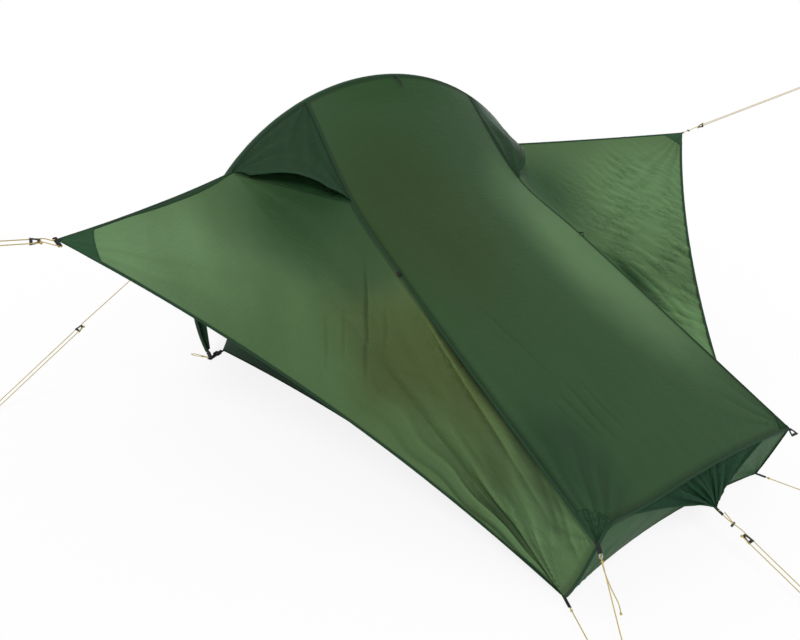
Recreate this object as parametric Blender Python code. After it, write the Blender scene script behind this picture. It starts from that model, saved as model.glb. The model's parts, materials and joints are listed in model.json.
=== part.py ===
"""Two-person tent on a single hoop, pitched with both side doors guyed out as awnings.

Metres, +Z up.  The origin lies on the underside of the groundsheet, straight below the hoop.
The foot end points to -Y, the head end to +Y, and left is -X.
"""

import math

import bmesh
import bpy
import numpy as np

# Hoop: a crown arc that runs on into one side arc on each side, measured on the pole's centre line
HOOP_HEIGHT = 1.062
CROWN_RADIUS = 0.915
CROWN_HALF_ANGLE = math.radians(46.8)
SIDE_RADIUS = 0.751
POLE_SECTIONS = 8
STEPS_PER_SECTION = 4
POLE_RADIUS = 0.0045
POLE_BORE_RADIUS = 0.0036
SPIGOT_RADIUS = 0.0032
SPIGOT_BORE_RADIUS = 0.0022
SPIGOT_LENGTH = 0.040
SHOCK_CORD_RADIUS = 0.0014
POLE_TIP_HEIGHT = 0.0095
POLE_TIP_WALL = 0.008

# Sleeve that holds the hoop, a flat fabric tunnel
SLEEVE_HALF_WIDTH = 0.0145
SLEEVE_HALF_DEPTH = 0.0064
SLEEVE_WALL = 0.0012
SLEEVE_END_TRIM = 0.034

# Cloth thickness, and the gaps that sewn edges, touching pieces and hinged cloth keep
FLY_CLOTH = 0.0012
INNER_CLOTH = 0.0012
NET_CLOTH = 0.0010
GAP = 0.0003
INNER_DOOR_GAP = 0.0009

# Flysheet, foot half, as points of the right side (+X)
SEAM_ARC = 0.400
VENT_CORNER_DROP = 0.361
VENT_CORNER = (0.397, -0.374, HOOP_HEIGHT - VENT_CORNER_DROP)
SEAM_TAB = (0.421, -0.718, 0.564)
FOOT_TOP = (0.442, -1.609, 0.221)
FOOT_BOTTOM = (0.455, -1.566, 0.004)
FOOT_TOP_RECESS = 0.018
FOOT_BOTTOM_RECESS = 0.036
FOOT_CROWN = 0.012
SEAM_STEPS = 5
ROOF_COLUMNS = 10
SIDE_ROWS = 8
SIDE_FOLDS = 2
SIDE_FOLD_DEPTH = 0.005

# Flysheet, head half, as points of the right side
HEAD_SEAM_MIDDLE = (0.396, 0.420, 0.628)
HEAD_TOP = (0.395, 0.850, 0.300)
HEAD_BOTTOM = (0.430, 0.890, 0.004)
HEAD_END_RECESS = 0.020
HEAD_CROWN = 0.015
HEAD_HEM_HEIGHT = 0.150
HEAD_HEM_CUT = 0.030

# Doors: their top corner on the hoop, and where each awning's tip is guyed
DOOR_TOP_DROP = 0.312
DOOR_TOP_HEIGHT = HOOP_HEIGHT - DOOR_TOP_DROP
DOOR_CORNER_SETBACK = 0.0225
AWNING_TIP = {"left": (-1.318, -0.441, 0.731), "right": (1.294, -0.488, 0.849)}
ZIP_EDGE_BOW = {"left": -0.012, "right": -0.004}
HEM_CUT = {"left": 0.072, "right": 0.066}
ZIP_EDGE_STEPS = 5
HEM_STEPS = 11
AWNING_ROWS = 8
AWNING_FOLDS = 3
AWNING_FOLD_DEPTH = 0.006

# Vents under the hoop and at the foot end
NET_COLUMNS = 4
HOOD_COLUMNS = 12
HOOD_SEAT = 0.0020
HOOD_LIFT = 0.060
HOOD_ARCH = 0.050
HOOD_PLEATS = 3
HOOD_PLEAT_DEPTH = 0.004
BRIM_WIDTH = 0.018
BRIM_THICKNESS = 0.0025
BRIM_START = 0.08
BRIM_STEPS = 10
GUSSET_TIP = (0.0, -1.660, 0.154)
GUSSET_REACH = 0.300
GUSSET_SEAT = 0.0015
GUSSET_PLEATS = 5
GUSSET_PLEAT_DEPTH = 0.006
GUSSET_COLUMNS = 20
GUSSET_ROWS = 4

# Corner struts at both ends of the flysheet
STRUT_RADIUS = 0.0025
STRUT_CLEARANCE = 0.0006
STRUT_SETBACK = 0.012

# Inner tent, as points of the right side; its wide corner lies inwards from the hoop's foot
INNER_FOOT_CLEARANCE = 0.0648
INNER_WIDE_SETBACK = 0.040
INNER_FOOT_CORNER = (0.410, -1.420, 0.0)
INNER_HEAD_CORNER = (0.410, 0.770, 0.0)
INNER_SHOULDER_DROP = 0.157
INNER_UNDER_VENT_DROP = 0.427
INNER_SHOULDER = (0.345, 0.0, HOOP_HEIGHT - INNER_SHOULDER_DROP)
INNER_UNDER_VENT = (0.350, -0.374, HOOP_HEIGHT - INNER_UNDER_VENT_DROP)
INNER_UNDER_TAB = (0.365, -0.718, 0.500)
INNER_FOOT_SHOULDER = (0.360, -1.410, 0.190)
INNER_HEAD_SHOULDER = (0.350, 0.755, 0.250)
INNER_CROWN = 0.075
INNER_COLUMNS = 6
TUB_HEIGHT = 0.120
TUB_SIDE_CUT = 0.040
TUB_STEPS = 6
INNER_DOOR_FRONT_CLEARANCE = 0.091
INNER_DOOR_FRONT_Y = -0.060
INNER_DOOR_SILL = 0.160
INNER_DOOR_BACK = (0.452, -0.980, 0.165)
INNER_DOOR_APEX_DROP = 0.402
INNER_DOOR_APEX = (0.462, -0.100, HOOP_HEIGHT - INNER_DOOR_APEX_DROP)

# Door zips and their sliders
ZIP_WIDTH = 0.0050
ZIP_DEPTH = 0.0024
ZIP_TOP_TRIM = 0.012
ZIP_STEPS = 20
SLIDER_LENGTH = 0.014
SLIDER_WIDTH = 0.0060
SLIDER_HEIGHT = 0.0050
TAB_LENGTH = 0.028
TAB_WIDTH = 0.0045
TAB_THICKNESS = 0.0016
SLIDER_REST_ARC = 0.045

# Feet of the hoop
CUP_RADIUS = 0.0078
CUP_BORE_RADIUS = 0.0052
CUP_HEIGHT = 0.028
CUP_FLOOR = 0.004
CUP_SIDES = 12
STRAP_WIDTH = 0.018
STRAP_THICKNESS = 0.0018
STRAP_OVERRUN = 0.010
STRAP_END_SETBACK = 0.0024
BASE_BUCKLE_LENGTH = 0.022
BASE_BUCKLE_WIDTH = 0.026
BASE_BUCKLE_THICKNESS = 0.0065
BASE_BUCKLE_SHARE = 0.55

# Guylines
CORD_DIAMETER = 0.0028
EYE_RADIUS = 0.0070
EYE_REACH = 1.2
EYE_TURN = math.radians(292)
EYE_STEPS = 9
STRAND_SPREAD = 0.0045
STRAND_LEAD = 0.0235
BIGHT_STEPS = 6
CORD_STEPS = 2
LOOP_STEPS = 4
ADJUSTER_LENGTH = 0.026
ADJUSTER_WIDTH = 0.020
ADJUSTER_THICKNESS = 0.0030
ADJUSTER_HOLE_SHARE = 0.45
CORD_EXIT = 0.0008
TIP_CORD_EXIT = 0.0003
TIP_LINE_DIRECTION = {"left": (-0.965, -0.220, 0.160), "right": (0.905, -0.280, 0.320)}
TIP_LINE_LENGTH = {"left": 0.180, "right": 0.720}
TIP_ADJUSTER_AT = {"left": 0.052, "right": 0.100}
HOOP_GUY_HEIGHT = 0.617
HOOP_GUY_PEG = (-1.570, 0.020, 0.013)
HOOP_ADJUSTER_AT = 0.610
FOOT_GUY_PEG = (0.056, -1.985, 0.016)
FOOT_ADJUSTER_AT = 0.098
CORNER_PEG = (0.516, -1.722, 0.0060)
EDGE_PEG = (-0.470, -1.768, 0.014)
EDGE_LINE_EXIT = 0.0014
LEG_LOOP_END = (-0.884, 0.066, 0.0042)
LEG_LOOP_NECK = 0.0027
LEG_LOOP_BELLY = 0.0060
EDGE_BUCKLE_DIRECTION = (0.386, -0.676, -0.628)
EDGE_BUCKLE_SETBACK = 0.0030

SIDES = {"left": -1.0, "right": 1.0}
ROUND_SIDES = 8
ORIGIN = (0.0, 0.0, 0.0)
INSIDE_TENT = (0.0, -0.4, 0.25)
HEAD_WARD = np.array((0.0, 1.0, 0.0))
UPWARD = np.array((0.0, 0.0, 1.0))
MIRROR = np.array((-1.0, 1.0, 1.0))

# Colour, roughness and metallic value of each finish
FINISHES = {
    "roof_cloth": ((0.038, 0.082, 0.036), 0.50, 0.0),
    "awning_cloth": ((0.095, 0.175, 0.080), 0.50, 0.0),
    "side_cloth": ((0.062, 0.125, 0.052), 0.50, 0.0),
    "dark_cloth": ((0.022, 0.050, 0.028), 0.55, 0.0),
    "net": ((0.030, 0.032, 0.028), 0.80, 0.0),
    "inner_cloth": ((0.150, 0.150, 0.085), 0.70, 0.0),
    "tub_cloth": ((0.028, 0.055, 0.035), 0.45, 0.0),
    "alloy": ((0.42, 0.43, 0.44), 0.35, 1.0),
    "elastic": ((0.05, 0.05, 0.05), 0.85, 0.0),
    "black_plastic": ((0.012, 0.012, 0.013), 0.40, 0.0),
    "webbing": ((0.014, 0.014, 0.014), 0.80, 0.0),
    "zip": ((0.016, 0.020, 0.017), 0.60, 0.0),
    "guy_cord": ((0.62, 0.58, 0.33), 0.70, 0.0),
}


def clear_scene():
    """Remove every object that the scene starts with."""
    for old in list(bpy.data.objects):
        bpy.data.objects.remove(old, do_unlink=True)


def on_side(side, values):
    """A point given for the right side, moved to the named side."""
    return np.array(values, dtype=float) * (SIDES[side], 1.0, 1.0)


def unit(vector):
    """The vector at length one."""
    return np.array(vector) / np.linalg.norm(vector)


def between(start, end, share):
    """The point at a share of the way from start to end."""
    return np.array(start) + (np.array(end) - np.array(start)) * share


def straight_path(start, end, steps):
    """Evenly spaced points from start to end."""
    return np.array([between(start, end, i / steps) for i in range(steps + 1)])


def smooth_path(knots, steps):
    """Points of a smooth curve through the knots, with steps in each stretch."""
    knots = np.array(knots, dtype=float)
    lengths = np.linalg.norm(np.diff(knots, axis=0), axis=1)
    times = np.concatenate([[0.0], np.cumsum(np.sqrt(lengths))])
    slopes = np.diff(knots, axis=0) / np.diff(times)[:, None]
    across = (knots[2:] - knots[:-2]) / (times[2:] - times[:-2])[:, None]
    tangents = np.vstack([slopes[:1], slopes[:-1] + slopes[1:] - across, slopes[-1:]])
    path = []
    for i, span in enumerate(np.diff(times)):
        for t in np.arange(steps) / steps:
            path.append(knots[i] * (1 + 2 * t) * (1 - t)**2 + tangents[i] * span * t * (1 - t)**2
                        + knots[i + 1] * t**2 * (3 - 2 * t) - tangents[i + 1] * span * t**2 * (1 - t))
    path.append(knots[-1])
    return np.array(path)


# Making pieces
def finish_material(object_name, finish):
    """The Principled material of one piece."""
    colour, roughness, metallic = FINISHES[finish]
    material = bpy.data.materials.new(object_name + "_" + finish)
    material.use_nodes = True
    shader = material.node_tree.nodes["Principled BSDF"]
    shader.inputs["Base Color"].default_value = (*colour, 1.0)
    shader.inputs["Roughness"].default_value = roughness
    shader.inputs["Metallic"].default_value = metallic
    return material


def add_piece(name, finish, bm, origin=ORIGIN):
    """Turn a bmesh in world coordinates into a named object whose origin is where it turns."""
    bmesh.ops.recalc_face_normals(bm, faces=bm.faces)
    bmesh.ops.translate(bm, verts=bm.verts, vec=[-value for value in origin])
    mesh = bpy.data.meshes.new(name)
    bm.to_mesh(mesh)
    bm.free()
    mesh.shade_smooth()
    mesh.set_sharp_from_angle(angle=math.radians(35))
    mesh.materials.append(finish_material(name, finish))
    piece = bpy.data.objects.new(name, mesh)
    piece.location = origin
    bpy.context.scene.collection.objects.link(piece)
    return piece


def loft(name, finish, rings, wrap=False, origin=ORIGIN):
    """Skin a row of rings with equal point counts, capped at both ends or joined end to start."""
    bm = bmesh.new()
    rows = [[bm.verts.new(p) for p in ring] for ring in rings]
    pairs = list(zip(rows, rows[1:]))
    if wrap:
        pairs.append((rows[-1], rows[0]))
    for first, second in pairs:
        for i in range(len(first)):
            j = (i + 1) % len(first)
            bm.faces.new((first[i], first[j], second[j], second[i]))
    if not wrap:
        bm.faces.new(rows[0])
        bm.faces.new(rows[-1])
    return add_piece(name, finish, bm, origin)


def round_ring(centre, across, upward, half_width, half_height, count=ROUND_SIDES):
    """An elliptical ring of points in the plane of two unit vectors."""
    turns = [2 * math.pi * i / count for i in range(count)]
    return [centre + across * half_width * math.cos(t) + upward * half_height * math.sin(t)
            for t in turns]


def block_ring(centre, across, upward, width, height):
    """A rectangular ring of four points."""
    corners = ((-0.5, -0.5), (0.5, -0.5), (0.5, 0.5), (-0.5, 0.5))
    return [centre + across * width * u + upward * height * v for u, v in corners]


def rod(name, finish, start, end, radius):
    """A straight round bar."""
    along = unit(end - start)
    across = unit(np.cross(along, HEAD_WARD))
    upward = np.cross(across, along)
    loft(name, finish, [round_ring(place, across, upward, radius, radius) for place in (start, end)])


def cord(name, route, origin=ORIGIN):
    """A round cord along a route, as a bevelled curve with filled caps."""
    curve = bpy.data.curves.new(name, "CURVE")
    curve.dimensions = "3D"
    curve.bevel_depth = CORD_DIAMETER / 2
    curve.bevel_resolution = 2
    curve.use_fill_caps = True
    spline = curve.splines.new("POLY")
    spline.points.add(len(route) - 1)
    for spot, place in zip(spline.points, route):
        spot.co = (*(np.array(place) - origin), 1.0)
    curve.materials.append(finish_material(name, "guy_cord"))
    piece = bpy.data.objects.new(name, curve)
    piece.location = origin
    bpy.context.scene.collection.objects.link(piece)
    return piece


# Cloth: a sheet is an open surface, and gets its thickness once all its neighbours are known
class Sheet:
    """One cut of cloth, as the points and faces of its outer side."""

    def __init__(self, name, finish, points, faces, inside, thickness, edge_gap, joined, origin):
        """Turn each face so that it looks away from the point called inside."""
        self.name = name
        self.finish = finish
        self.points = [np.array(p, dtype=float) for p in points]
        self.thickness = thickness
        self.edge_gap = edge_gap
        self.joined = joined
        self.origin = origin
        self.faces = []
        for face in faces:
            centre = sum(self.points[i] for i in face) / len(face)
            looks_out = np.dot(self.face_normal(face), centre - np.array(inside)) > 0
            self.faces.append(tuple(face) if looks_out else tuple(reversed(face)))

    def face_normal(self, face):
        """The face's unit normal, by the sum of its edges' cross products."""
        total = np.zeros(3)
        for i, j in zip(face, face[1:] + face[:1]):
            total += np.cross(self.points[i], self.points[j])
        return unit(total)

    def normals_at_points(self):
        """For each point, the normals that meet there, with those of a smooth bend averaged."""
        meeting = [[] for _ in self.points]
        for face in self.faces:
            normal = self.face_normal(face)
            for i in face:
                meeting[i].append(normal)
        return [merged_normals(normals) for normals in meeting]

    def rim_and_pulls(self):
        """The rim's edges, and for each point the directions in which its rim edges draw in."""
        owners = {}
        for face in self.faces:
            for i, j in zip(face, face[1:] + face[:1]):
                owners.setdefault(frozenset((i, j)), []).append((i, j, face))
        pulls = [[] for _ in self.points]
        rim = []
        for found in owners.values():
            if len(found) == 1:
                i, j, face = found[0]
                rim.append((i, j))
                pull = np.cross(self.face_normal(face), unit(self.points[j] - self.points[i]))
                pulls[i].append(pull)
                pulls[j].append(pull)
        return rim, pulls

    def flat_faces(self):
        """The faces with each four-sided one split in two, the same way on both sides."""
        flat = []
        for face in self.faces:
            if len(face) != 4:
                flat.append(face)
                continue
            a, b, c, d = face
            first = np.linalg.norm(self.points[a] - self.points[c])
            second = np.linalg.norm(self.points[b] - self.points[d])
            flat += [(a, b, c), (a, c, d)] if first < second else [(a, b, d), (b, c, d)]
        return flat

    def build(self, shared):
        """Give the sheet its thickness, mitred against the sheets that share its rim points."""
        rim, pulls = self.rim_and_pulls()
        bm = bmesh.new()
        outer = []
        inner = []
        for p, own, pull in zip(self.points, self.normals_at_points(), pulls):
            shift = least_step(pull, [self.edge_gap] * len(pull))
            meeting = merged_normals(own + shared.get(place_key(p), []), 0.97)
            depths = [-self.thickness] * len(meeting)
            if abs(abs(p[1]) - CLOTH_EDGE) < 1e-6:
                meeting = meeting + [HEAD_WARD]
                depths = depths + [0.0]
            outer.append(bm.verts.new(p + shift))
            inner.append(bm.verts.new(p + shift + least_step(meeting, depths)))
        for face in self.flat_faces():
            bm.faces.new([outer[i] for i in face])
            bm.faces.new([inner[i] for i in reversed(face)])
        for i, j in rim:
            bm.faces.new((outer[j], outer[i], inner[i], inner[j]))
        return add_piece(self.name, self.finish, bm, self.origin)


def place_key(p):
    """A point rounded to a hundredth of a millimetre, to find the rims that meet there."""
    return tuple(int(round(value * 1e5)) for value in p)


def merged_normals(normals, closeness=0.95):
    """Average the normals that nearly agree, and keep apart those across a crease."""
    groups = []
    for normal in normals:
        for group in groups:
            if np.dot(unit(group), normal) > closeness:
                group += normal
                break
        else:
            groups.append(np.array(normal))
    return [unit(group) for group in groups]


def least_step(directions, distances):
    """The shortest step that goes the given distance along every direction."""
    if not directions:
        return np.zeros(3)
    return np.linalg.pinv(np.array(directions), rcond=0.05) @ np.array(distances)


SHEETS = []


def sheet(name, finish, points, faces, inside=INSIDE_TENT, thickness=FLY_CLOTH,
          edge_gap=GAP / 2, joined=True, origin=ORIGIN):
    """Note a cut of cloth, to be built when all the sheets are known."""
    SHEETS.append(Sheet(name, finish, points, faces, inside, thickness, edge_gap, joined, origin))


def grid_sheet(name, finish, grid, **settings):
    """Note a cut of cloth that is a grid of points, some of which may coincide at a corner."""
    grid = np.array(grid)
    rows, columns = grid.shape[:2]
    numbers = {}
    points = []
    for p in grid.reshape(-1, 3):
        if place_key(p) not in numbers:
            numbers[place_key(p)] = len(points)
            points.append(p)
    faces = []
    for r in range(rows - 1):
        for c in range(columns - 1):
            corners = (grid[r, c], grid[r, c + 1], grid[r + 1, c + 1], grid[r + 1, c])
            face = list(dict.fromkeys(numbers[place_key(p)] for p in corners))
            if len(face) > 2:
                faces.append(face)
    sheet(name, finish, points, faces, **settings)


def build_sheets():
    """Build every noted sheet, with the normals of its neighbours on shared rims."""
    shared = {}
    for each in SHEETS:
        if each.joined:
            for p, normals in zip(each.points, each.normals_at_points()):
                shared.setdefault(place_key(p), []).extend(normals)
    for each in SHEETS:
        each.build(shared if each.joined else {})


def patch(first_row, last_row, first_column, last_column):
    """A Coons patch: the grid of points that blends four edge curves."""
    rows = len(first_column)
    columns = len(first_row)
    grid = np.zeros((rows, columns, 3))
    for r in range(rows):
        v = r / (rows - 1)
        for c in range(columns):
            u = c / (columns - 1)
            ruled = between(first_row[c], last_row[c], v) + between(first_column[r], last_column[r], u)
            corners = between(between(first_row[0], first_row[-1], u),
                              between(last_row[0], last_row[-1], u), v)
            grid[r, c] = ruled - corners
    return grid


# The hoop's line
CROWN_LENGTH = CROWN_RADIUS * CROWN_HALF_ANGLE
CROWN_CENTRE_HEIGHT = HOOP_HEIGHT - CROWN_RADIUS
SIDE_CENTRE_X = (CROWN_RADIUS - SIDE_RADIUS) * math.sin(CROWN_HALF_ANGLE)
SIDE_CENTRE_HEIGHT = CROWN_CENTRE_HEIGHT + (CROWN_RADIUS - SIDE_RADIUS) * math.cos(CROWN_HALF_ANGLE)


def arc_at_height(height):
    """The length along the hoop from its top to a height on its side arc."""
    turn = math.acos((height - SIDE_CENTRE_HEIGHT) / SIDE_RADIUS)
    return CROWN_LENGTH + SIDE_RADIUS * (turn - CROWN_HALF_ANGLE)


def hoop_frame(arc):
    """The place, outward direction and running direction of the hoop at a signed length."""
    sign = math.copysign(1.0, arc)
    length = abs(arc)
    if length <= CROWN_LENGTH:
        turn = length / CROWN_RADIUS
        centre = np.array((0.0, 0.0, CROWN_CENTRE_HEIGHT))
        radius = CROWN_RADIUS
    else:
        turn = CROWN_HALF_ANGLE + (length - CROWN_LENGTH) / SIDE_RADIUS
        centre = np.array((sign * SIDE_CENTRE_X, 0.0, SIDE_CENTRE_HEIGHT))
        radius = SIDE_RADIUS
    outward = np.array((sign * math.sin(turn), 0.0, math.cos(turn)))
    along = np.array((math.cos(turn), 0.0, -sign * math.sin(turn)))
    return centre + outward * radius, outward, along


def beside_hoop(arc, y, lift=0.0):
    """A point beside the hoop, at y and lifted outwards from its line."""
    place, outward, _ = hoop_frame(arc)
    return place + outward * lift + HEAD_WARD * y


HOOP_HALF = arc_at_height(POLE_TIP_HEIGHT)
DOOR_TOP_ARC = arc_at_height(DOOR_TOP_HEIGHT)
HEM_ARC = arc_at_height(HEAD_HEM_HEIGHT)
CLOTH_EDGE = SLEEVE_HALF_WIDTH + GAP
CLOTH_LIFT = FLY_CLOTH / 2
STATION_COUNT = POLE_SECTIONS * STEPS_PER_SECTION
STATION_STEP = 2 * HOOP_HALF / STATION_COUNT


def bent_frame(arc):
    """The place and outward direction on the hoop as a chain of short straight runs."""
    position = (arc + HOOP_HALF) / STATION_STEP
    run = min(max(int(math.floor(position + 1e-9)), 0), STATION_COUNT - 1)
    start, start_out, _ = hoop_frame(run * STATION_STEP - HOOP_HALF)
    end, end_out, _ = hoop_frame((run + 1) * STATION_STEP - HOOP_HALF)
    share = position - run
    return between(start, end, share), unit(between(start_out, end_out, share))


def bent_run(start, end, half_depth, half_width=None, count=ROUND_SIDES):
    """Rings round the bent hoop from one length to another, with one at each bend between."""
    bends = [i * STATION_STEP - HOOP_HALF for i in range(STATION_COUNT + 1)]
    low, high = min(start, end), max(start, end)
    arcs = [start] + sorted((b for b in bends if low + 1e-6 < b < high - 1e-6),
                            reverse=start > end) + [end]
    rings = []
    for arc in arcs:
        place, outward = bent_frame(arc)
        rings.append(round_ring(place, outward, HEAD_WARD, half_depth, half_width or half_depth, count))
    return rings


def build_pole():
    """The hoop's alloy sections, each with a spigot in the next, and the cord inside them."""
    length = STATION_STEP * STEPS_PER_SECTION
    socket = SPIGOT_LENGTH + 2 * GAP
    for number in range(POLE_SECTIONS):
        name = "hoop_pole_%d" % (number + 1)
        start = number * length - HOOP_HALF
        end = start + length
        spigot = (bent_run(end - GAP / 2, end + SPIGOT_LENGTH, SPIGOT_RADIUS)
                  + bent_run(end + SPIGOT_LENGTH, end, SPIGOT_BORE_RADIUS))
        mouth = bent_run(start + socket, start + GAP / 2, POLE_BORE_RADIUS)
        if number == 0:
            rings = (bent_run(start, end - GAP / 2, POLE_RADIUS) + spigot
                     + bent_run(end, start + POLE_TIP_WALL, SPIGOT_BORE_RADIUS)[1:])
            loft(name, "alloy", rings)
        elif number == POLE_SECTIONS - 1:
            rings = (bent_run(end - POLE_TIP_WALL, start + socket, SPIGOT_BORE_RADIUS) + mouth
                     + bent_run(start + GAP / 2, end, POLE_RADIUS))
            loft(name, "alloy", rings)
        else:
            rings = (bent_run(start + GAP / 2, end - GAP / 2, POLE_RADIUS) + spigot
                     + bent_run(end, start + socket, SPIGOT_BORE_RADIUS)[1:] + mouth)
            loft(name, "alloy", rings, wrap=True)
    reach = HOOP_HALF - POLE_TIP_WALL - GAP
    loft("hoop_shock_cord", "elastic", bent_run(-reach, reach, SHOCK_CORD_RADIUS, count=6))


def build_sleeve():
    """The fabric tunnel over the hoop, open at both ends."""
    reach = HOOP_HALF - SLEEVE_END_TRIM
    outer = bent_run(-reach, reach, SLEEVE_HALF_DEPTH, SLEEVE_HALF_WIDTH)
    inner = bent_run(reach, -reach, SLEEVE_HALF_DEPTH - SLEEVE_WALL, SLEEVE_HALF_WIDTH - SLEEVE_WALL)
    loft("hoop_sleeve", "dark_cloth", outer + inner, wrap=True)


def wide_corner(side):
    """The tub floor's widest corner, inwards from the hoop's foot."""
    tip, _ = bent_frame(HOOP_HALF)
    return on_side(side, (tip[0] - INNER_FOOT_CLEARANCE, INNER_WIDE_SETBACK, 0.0))


def build_feet(side):
    """The plastic cup under the pole's tip, and the strap that ties it to the inner tent."""
    sign = SIDES[side]
    tip, outward = bent_frame(sign * HOOP_HALF)
    above, _ = bent_frame(sign * (HOOP_HALF - CUP_HEIGHT))
    rise = unit(above - tip)
    bottom = tip - rise * (GAP + CUP_FLOOR)
    outward = np.cross(HEAD_WARD, rise)
    profile = ((0.0, CUP_RADIUS), (CUP_HEIGHT, CUP_RADIUS), (CUP_HEIGHT, CUP_BORE_RADIUS),
               (CUP_FLOOR, CUP_BORE_RADIUS))
    rings = [round_ring(bottom + rise * height, outward, HEAD_WARD, radius, radius, CUP_SIDES)
             for height, radius in profile]
    loft("pole_cup_" + side, "black_plastic", rings)

    corner = wide_corner(side)
    foot = np.array((bottom[0], bottom[1], 0.0))
    along = unit(corner - foot)
    across = np.cross(UPWARD, along)
    start = foot - along * STRAP_OVERRUN
    end = corner - along * STRAP_END_SETBACK
    middle = between(foot, corner, BASE_BUCKLE_SHARE)
    half_buckle = along * BASE_BUCKLE_LENGTH / 2
    strap = (STRAP_WIDTH, STRAP_THICKNESS, 2 * GAP)
    buckle = (BASE_BUCKLE_WIDTH, BASE_BUCKLE_THICKNESS, GAP)
    stretches = ((start, strap), (middle - half_buckle, strap), (middle - half_buckle, buckle),
                 (middle + half_buckle, buckle), (middle + half_buckle, strap), (end, strap))
    rings = [block_ring(place + UPWARD * (lift + height / 2), across, UPWARD, width, height)
             for place, (width, height, lift) in stretches]
    loft("base_strap_" + side, "webbing", rings)


# Lines of the flysheet that several pieces share
def foot_seam(side):
    """The roof seam from the hoop to the foot end."""
    start = beside_hoop(SIDES[side] * SEAM_ARC, -CLOTH_EDGE, CLOTH_LIFT)
    knots = [start] + [on_side(side, p) for p in (VENT_CORNER, SEAM_TAB, FOOT_TOP)]
    return smooth_path(knots, SEAM_STEPS)


def head_seam(side):
    """The roof seam from the hoop to the head end."""
    start = beside_hoop(SIDES[side] * SEAM_ARC, CLOTH_EDGE, CLOTH_LIFT)
    knots = [start] + [on_side(side, p) for p in (HEAD_SEAM_MIDDLE, HEAD_TOP)]
    return smooth_path(knots, SEAM_STEPS)


def bowed_edge(start, end, steps, bow):
    """A line from start to end that bows by the given vector at its middle."""
    path = straight_path(start, end, steps)
    for i in range(steps + 1):
        u = 2 * i / steps - 1
        path[i] += np.array(bow) * (1 - u * u)
    return path


def hoop_edge(start_arc, end_arc, steps, y):
    """Points beside the hoop between two signed lengths, where cloth is sewn to the sleeve."""
    return np.array([beside_hoop(start_arc + (end_arc - start_arc) * i / steps, y, CLOTH_LIFT)
                     for i in range(steps + 1)])


def foot_end_edges():
    """The top and bottom edges of the foot end."""
    top = bowed_edge(on_side("left", FOOT_TOP), FOOT_TOP, ROOF_COLUMNS,
                     (0.0, FOOT_TOP_RECESS, FOOT_CROWN))
    bottom = bowed_edge(on_side("left", FOOT_BOTTOM), FOOT_BOTTOM, ROOF_COLUMNS,
                        (0.0, FOOT_BOTTOM_RECESS, 0.0))
    return top, bottom


def head_end_edges():
    """The top and bottom edges of the head end."""
    top = bowed_edge(on_side("left", HEAD_TOP), HEAD_TOP, ROOF_COLUMNS,
                     (0.0, -HEAD_END_RECESS, HEAD_CROWN))
    bottom = bowed_edge(on_side("left", HEAD_BOTTOM), HEAD_BOTTOM, ROOF_COLUMNS,
                        (0.0, -HEAD_END_RECESS, 0.0))
    return top, bottom


def door_top(side):
    """The door's top corner, just off the sleeve."""
    corner = beside_hoop(SIDES[side] * DOOR_TOP_ARC, 0.0, CLOTH_LIFT)
    corner[1] = -DOOR_CORNER_SETBACK
    return corner


def vent_line(side):
    """The straight line under the vent, from the door's top corner to the roof seam."""
    return straight_path(door_top(side), on_side(side, VENT_CORNER), NET_COLUMNS)


def build_fly_roof():
    """The roof panels on both sides of the hoop, and the two end panels."""
    top, bottom = foot_end_edges()
    arch = hoop_edge(-SEAM_ARC, SEAM_ARC, ROOF_COLUMNS, -CLOTH_EDGE)
    grid_sheet("fly_roof_foot", "roof_cloth", patch(arch, top, foot_seam("left"), foot_seam("right")))
    sides = [straight_path(top[i], bottom[i], SIDE_ROWS) for i in (0, -1)]
    grid_sheet("fly_end_foot", "side_cloth", patch(top, bottom, *sides))

    top, bottom = head_end_edges()
    arch = hoop_edge(-SEAM_ARC, SEAM_ARC, ROOF_COLUMNS, CLOTH_EDGE)
    grid_sheet("fly_roof_head", "roof_cloth", patch(arch, top, head_seam("left"), head_seam("right")))
    sides = [straight_path(top[i], bottom[i], SIDE_ROWS) for i in (0, -1)]
    grid_sheet("fly_end_head", "side_cloth", patch(top, bottom, *sides))


def foot_side_grid(side):
    """The fixed side panel of the foot half, down to the door's fold line."""
    seam = foot_seam(side)[SEAM_STEPS:]
    upper = np.vstack([vent_line(side)[:-1], seam])
    start, end = door_top(side), on_side(side, FOOT_BOTTOM)
    shares = (upper[:, 1] - upper[0, 1]) / (upper[-1, 1] - upper[0, 1])
    lower = np.array([between(start, end, share) for share in shares])
    corner = np.array([start] * (SIDE_ROWS + 1))
    grid = patch(upper, lower, corner, straight_path(seam[-1], end, SIDE_ROWS))
    out = unit(np.cross(seam[-1] - start, end - start))
    for r, v in enumerate(np.linspace(0.0, 1.0, grid.shape[0])):
        for c, u in enumerate(np.linspace(0.0, 1.0, grid.shape[1])):
            fade = math.sin(math.pi * u) * math.sin(math.pi * v)
            grid[r, c] += out * SIDE_FOLD_DEPTH * fade * math.sin(2 * math.pi * SIDE_FOLDS * v)
    return grid


def head_side_grid(side):
    """The side panel of the head half, from the hoop to the head end."""
    sign = SIDES[side]
    seam = head_seam(side)
    leg = hoop_edge(sign * SEAM_ARC, sign * HEM_ARC, SIDE_ROWS, CLOTH_EDGE)
    hem = bowed_edge(leg[-1], on_side(side, HEAD_BOTTOM), len(seam) - 1,
                     (-sign * HEAD_HEM_CUT, 0.0, HEAD_HEM_CUT))
    return patch(seam, hem, leg, straight_path(seam[-1], hem[-1], SIDE_ROWS))


def build_fly_sides(side):
    """The fixed side panels of both halves."""
    grid_sheet("fly_side_foot_" + side, "side_cloth", foot_side_grid(side))
    grid_sheet("fly_side_head_" + side, "side_cloth", head_side_grid(side))


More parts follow.
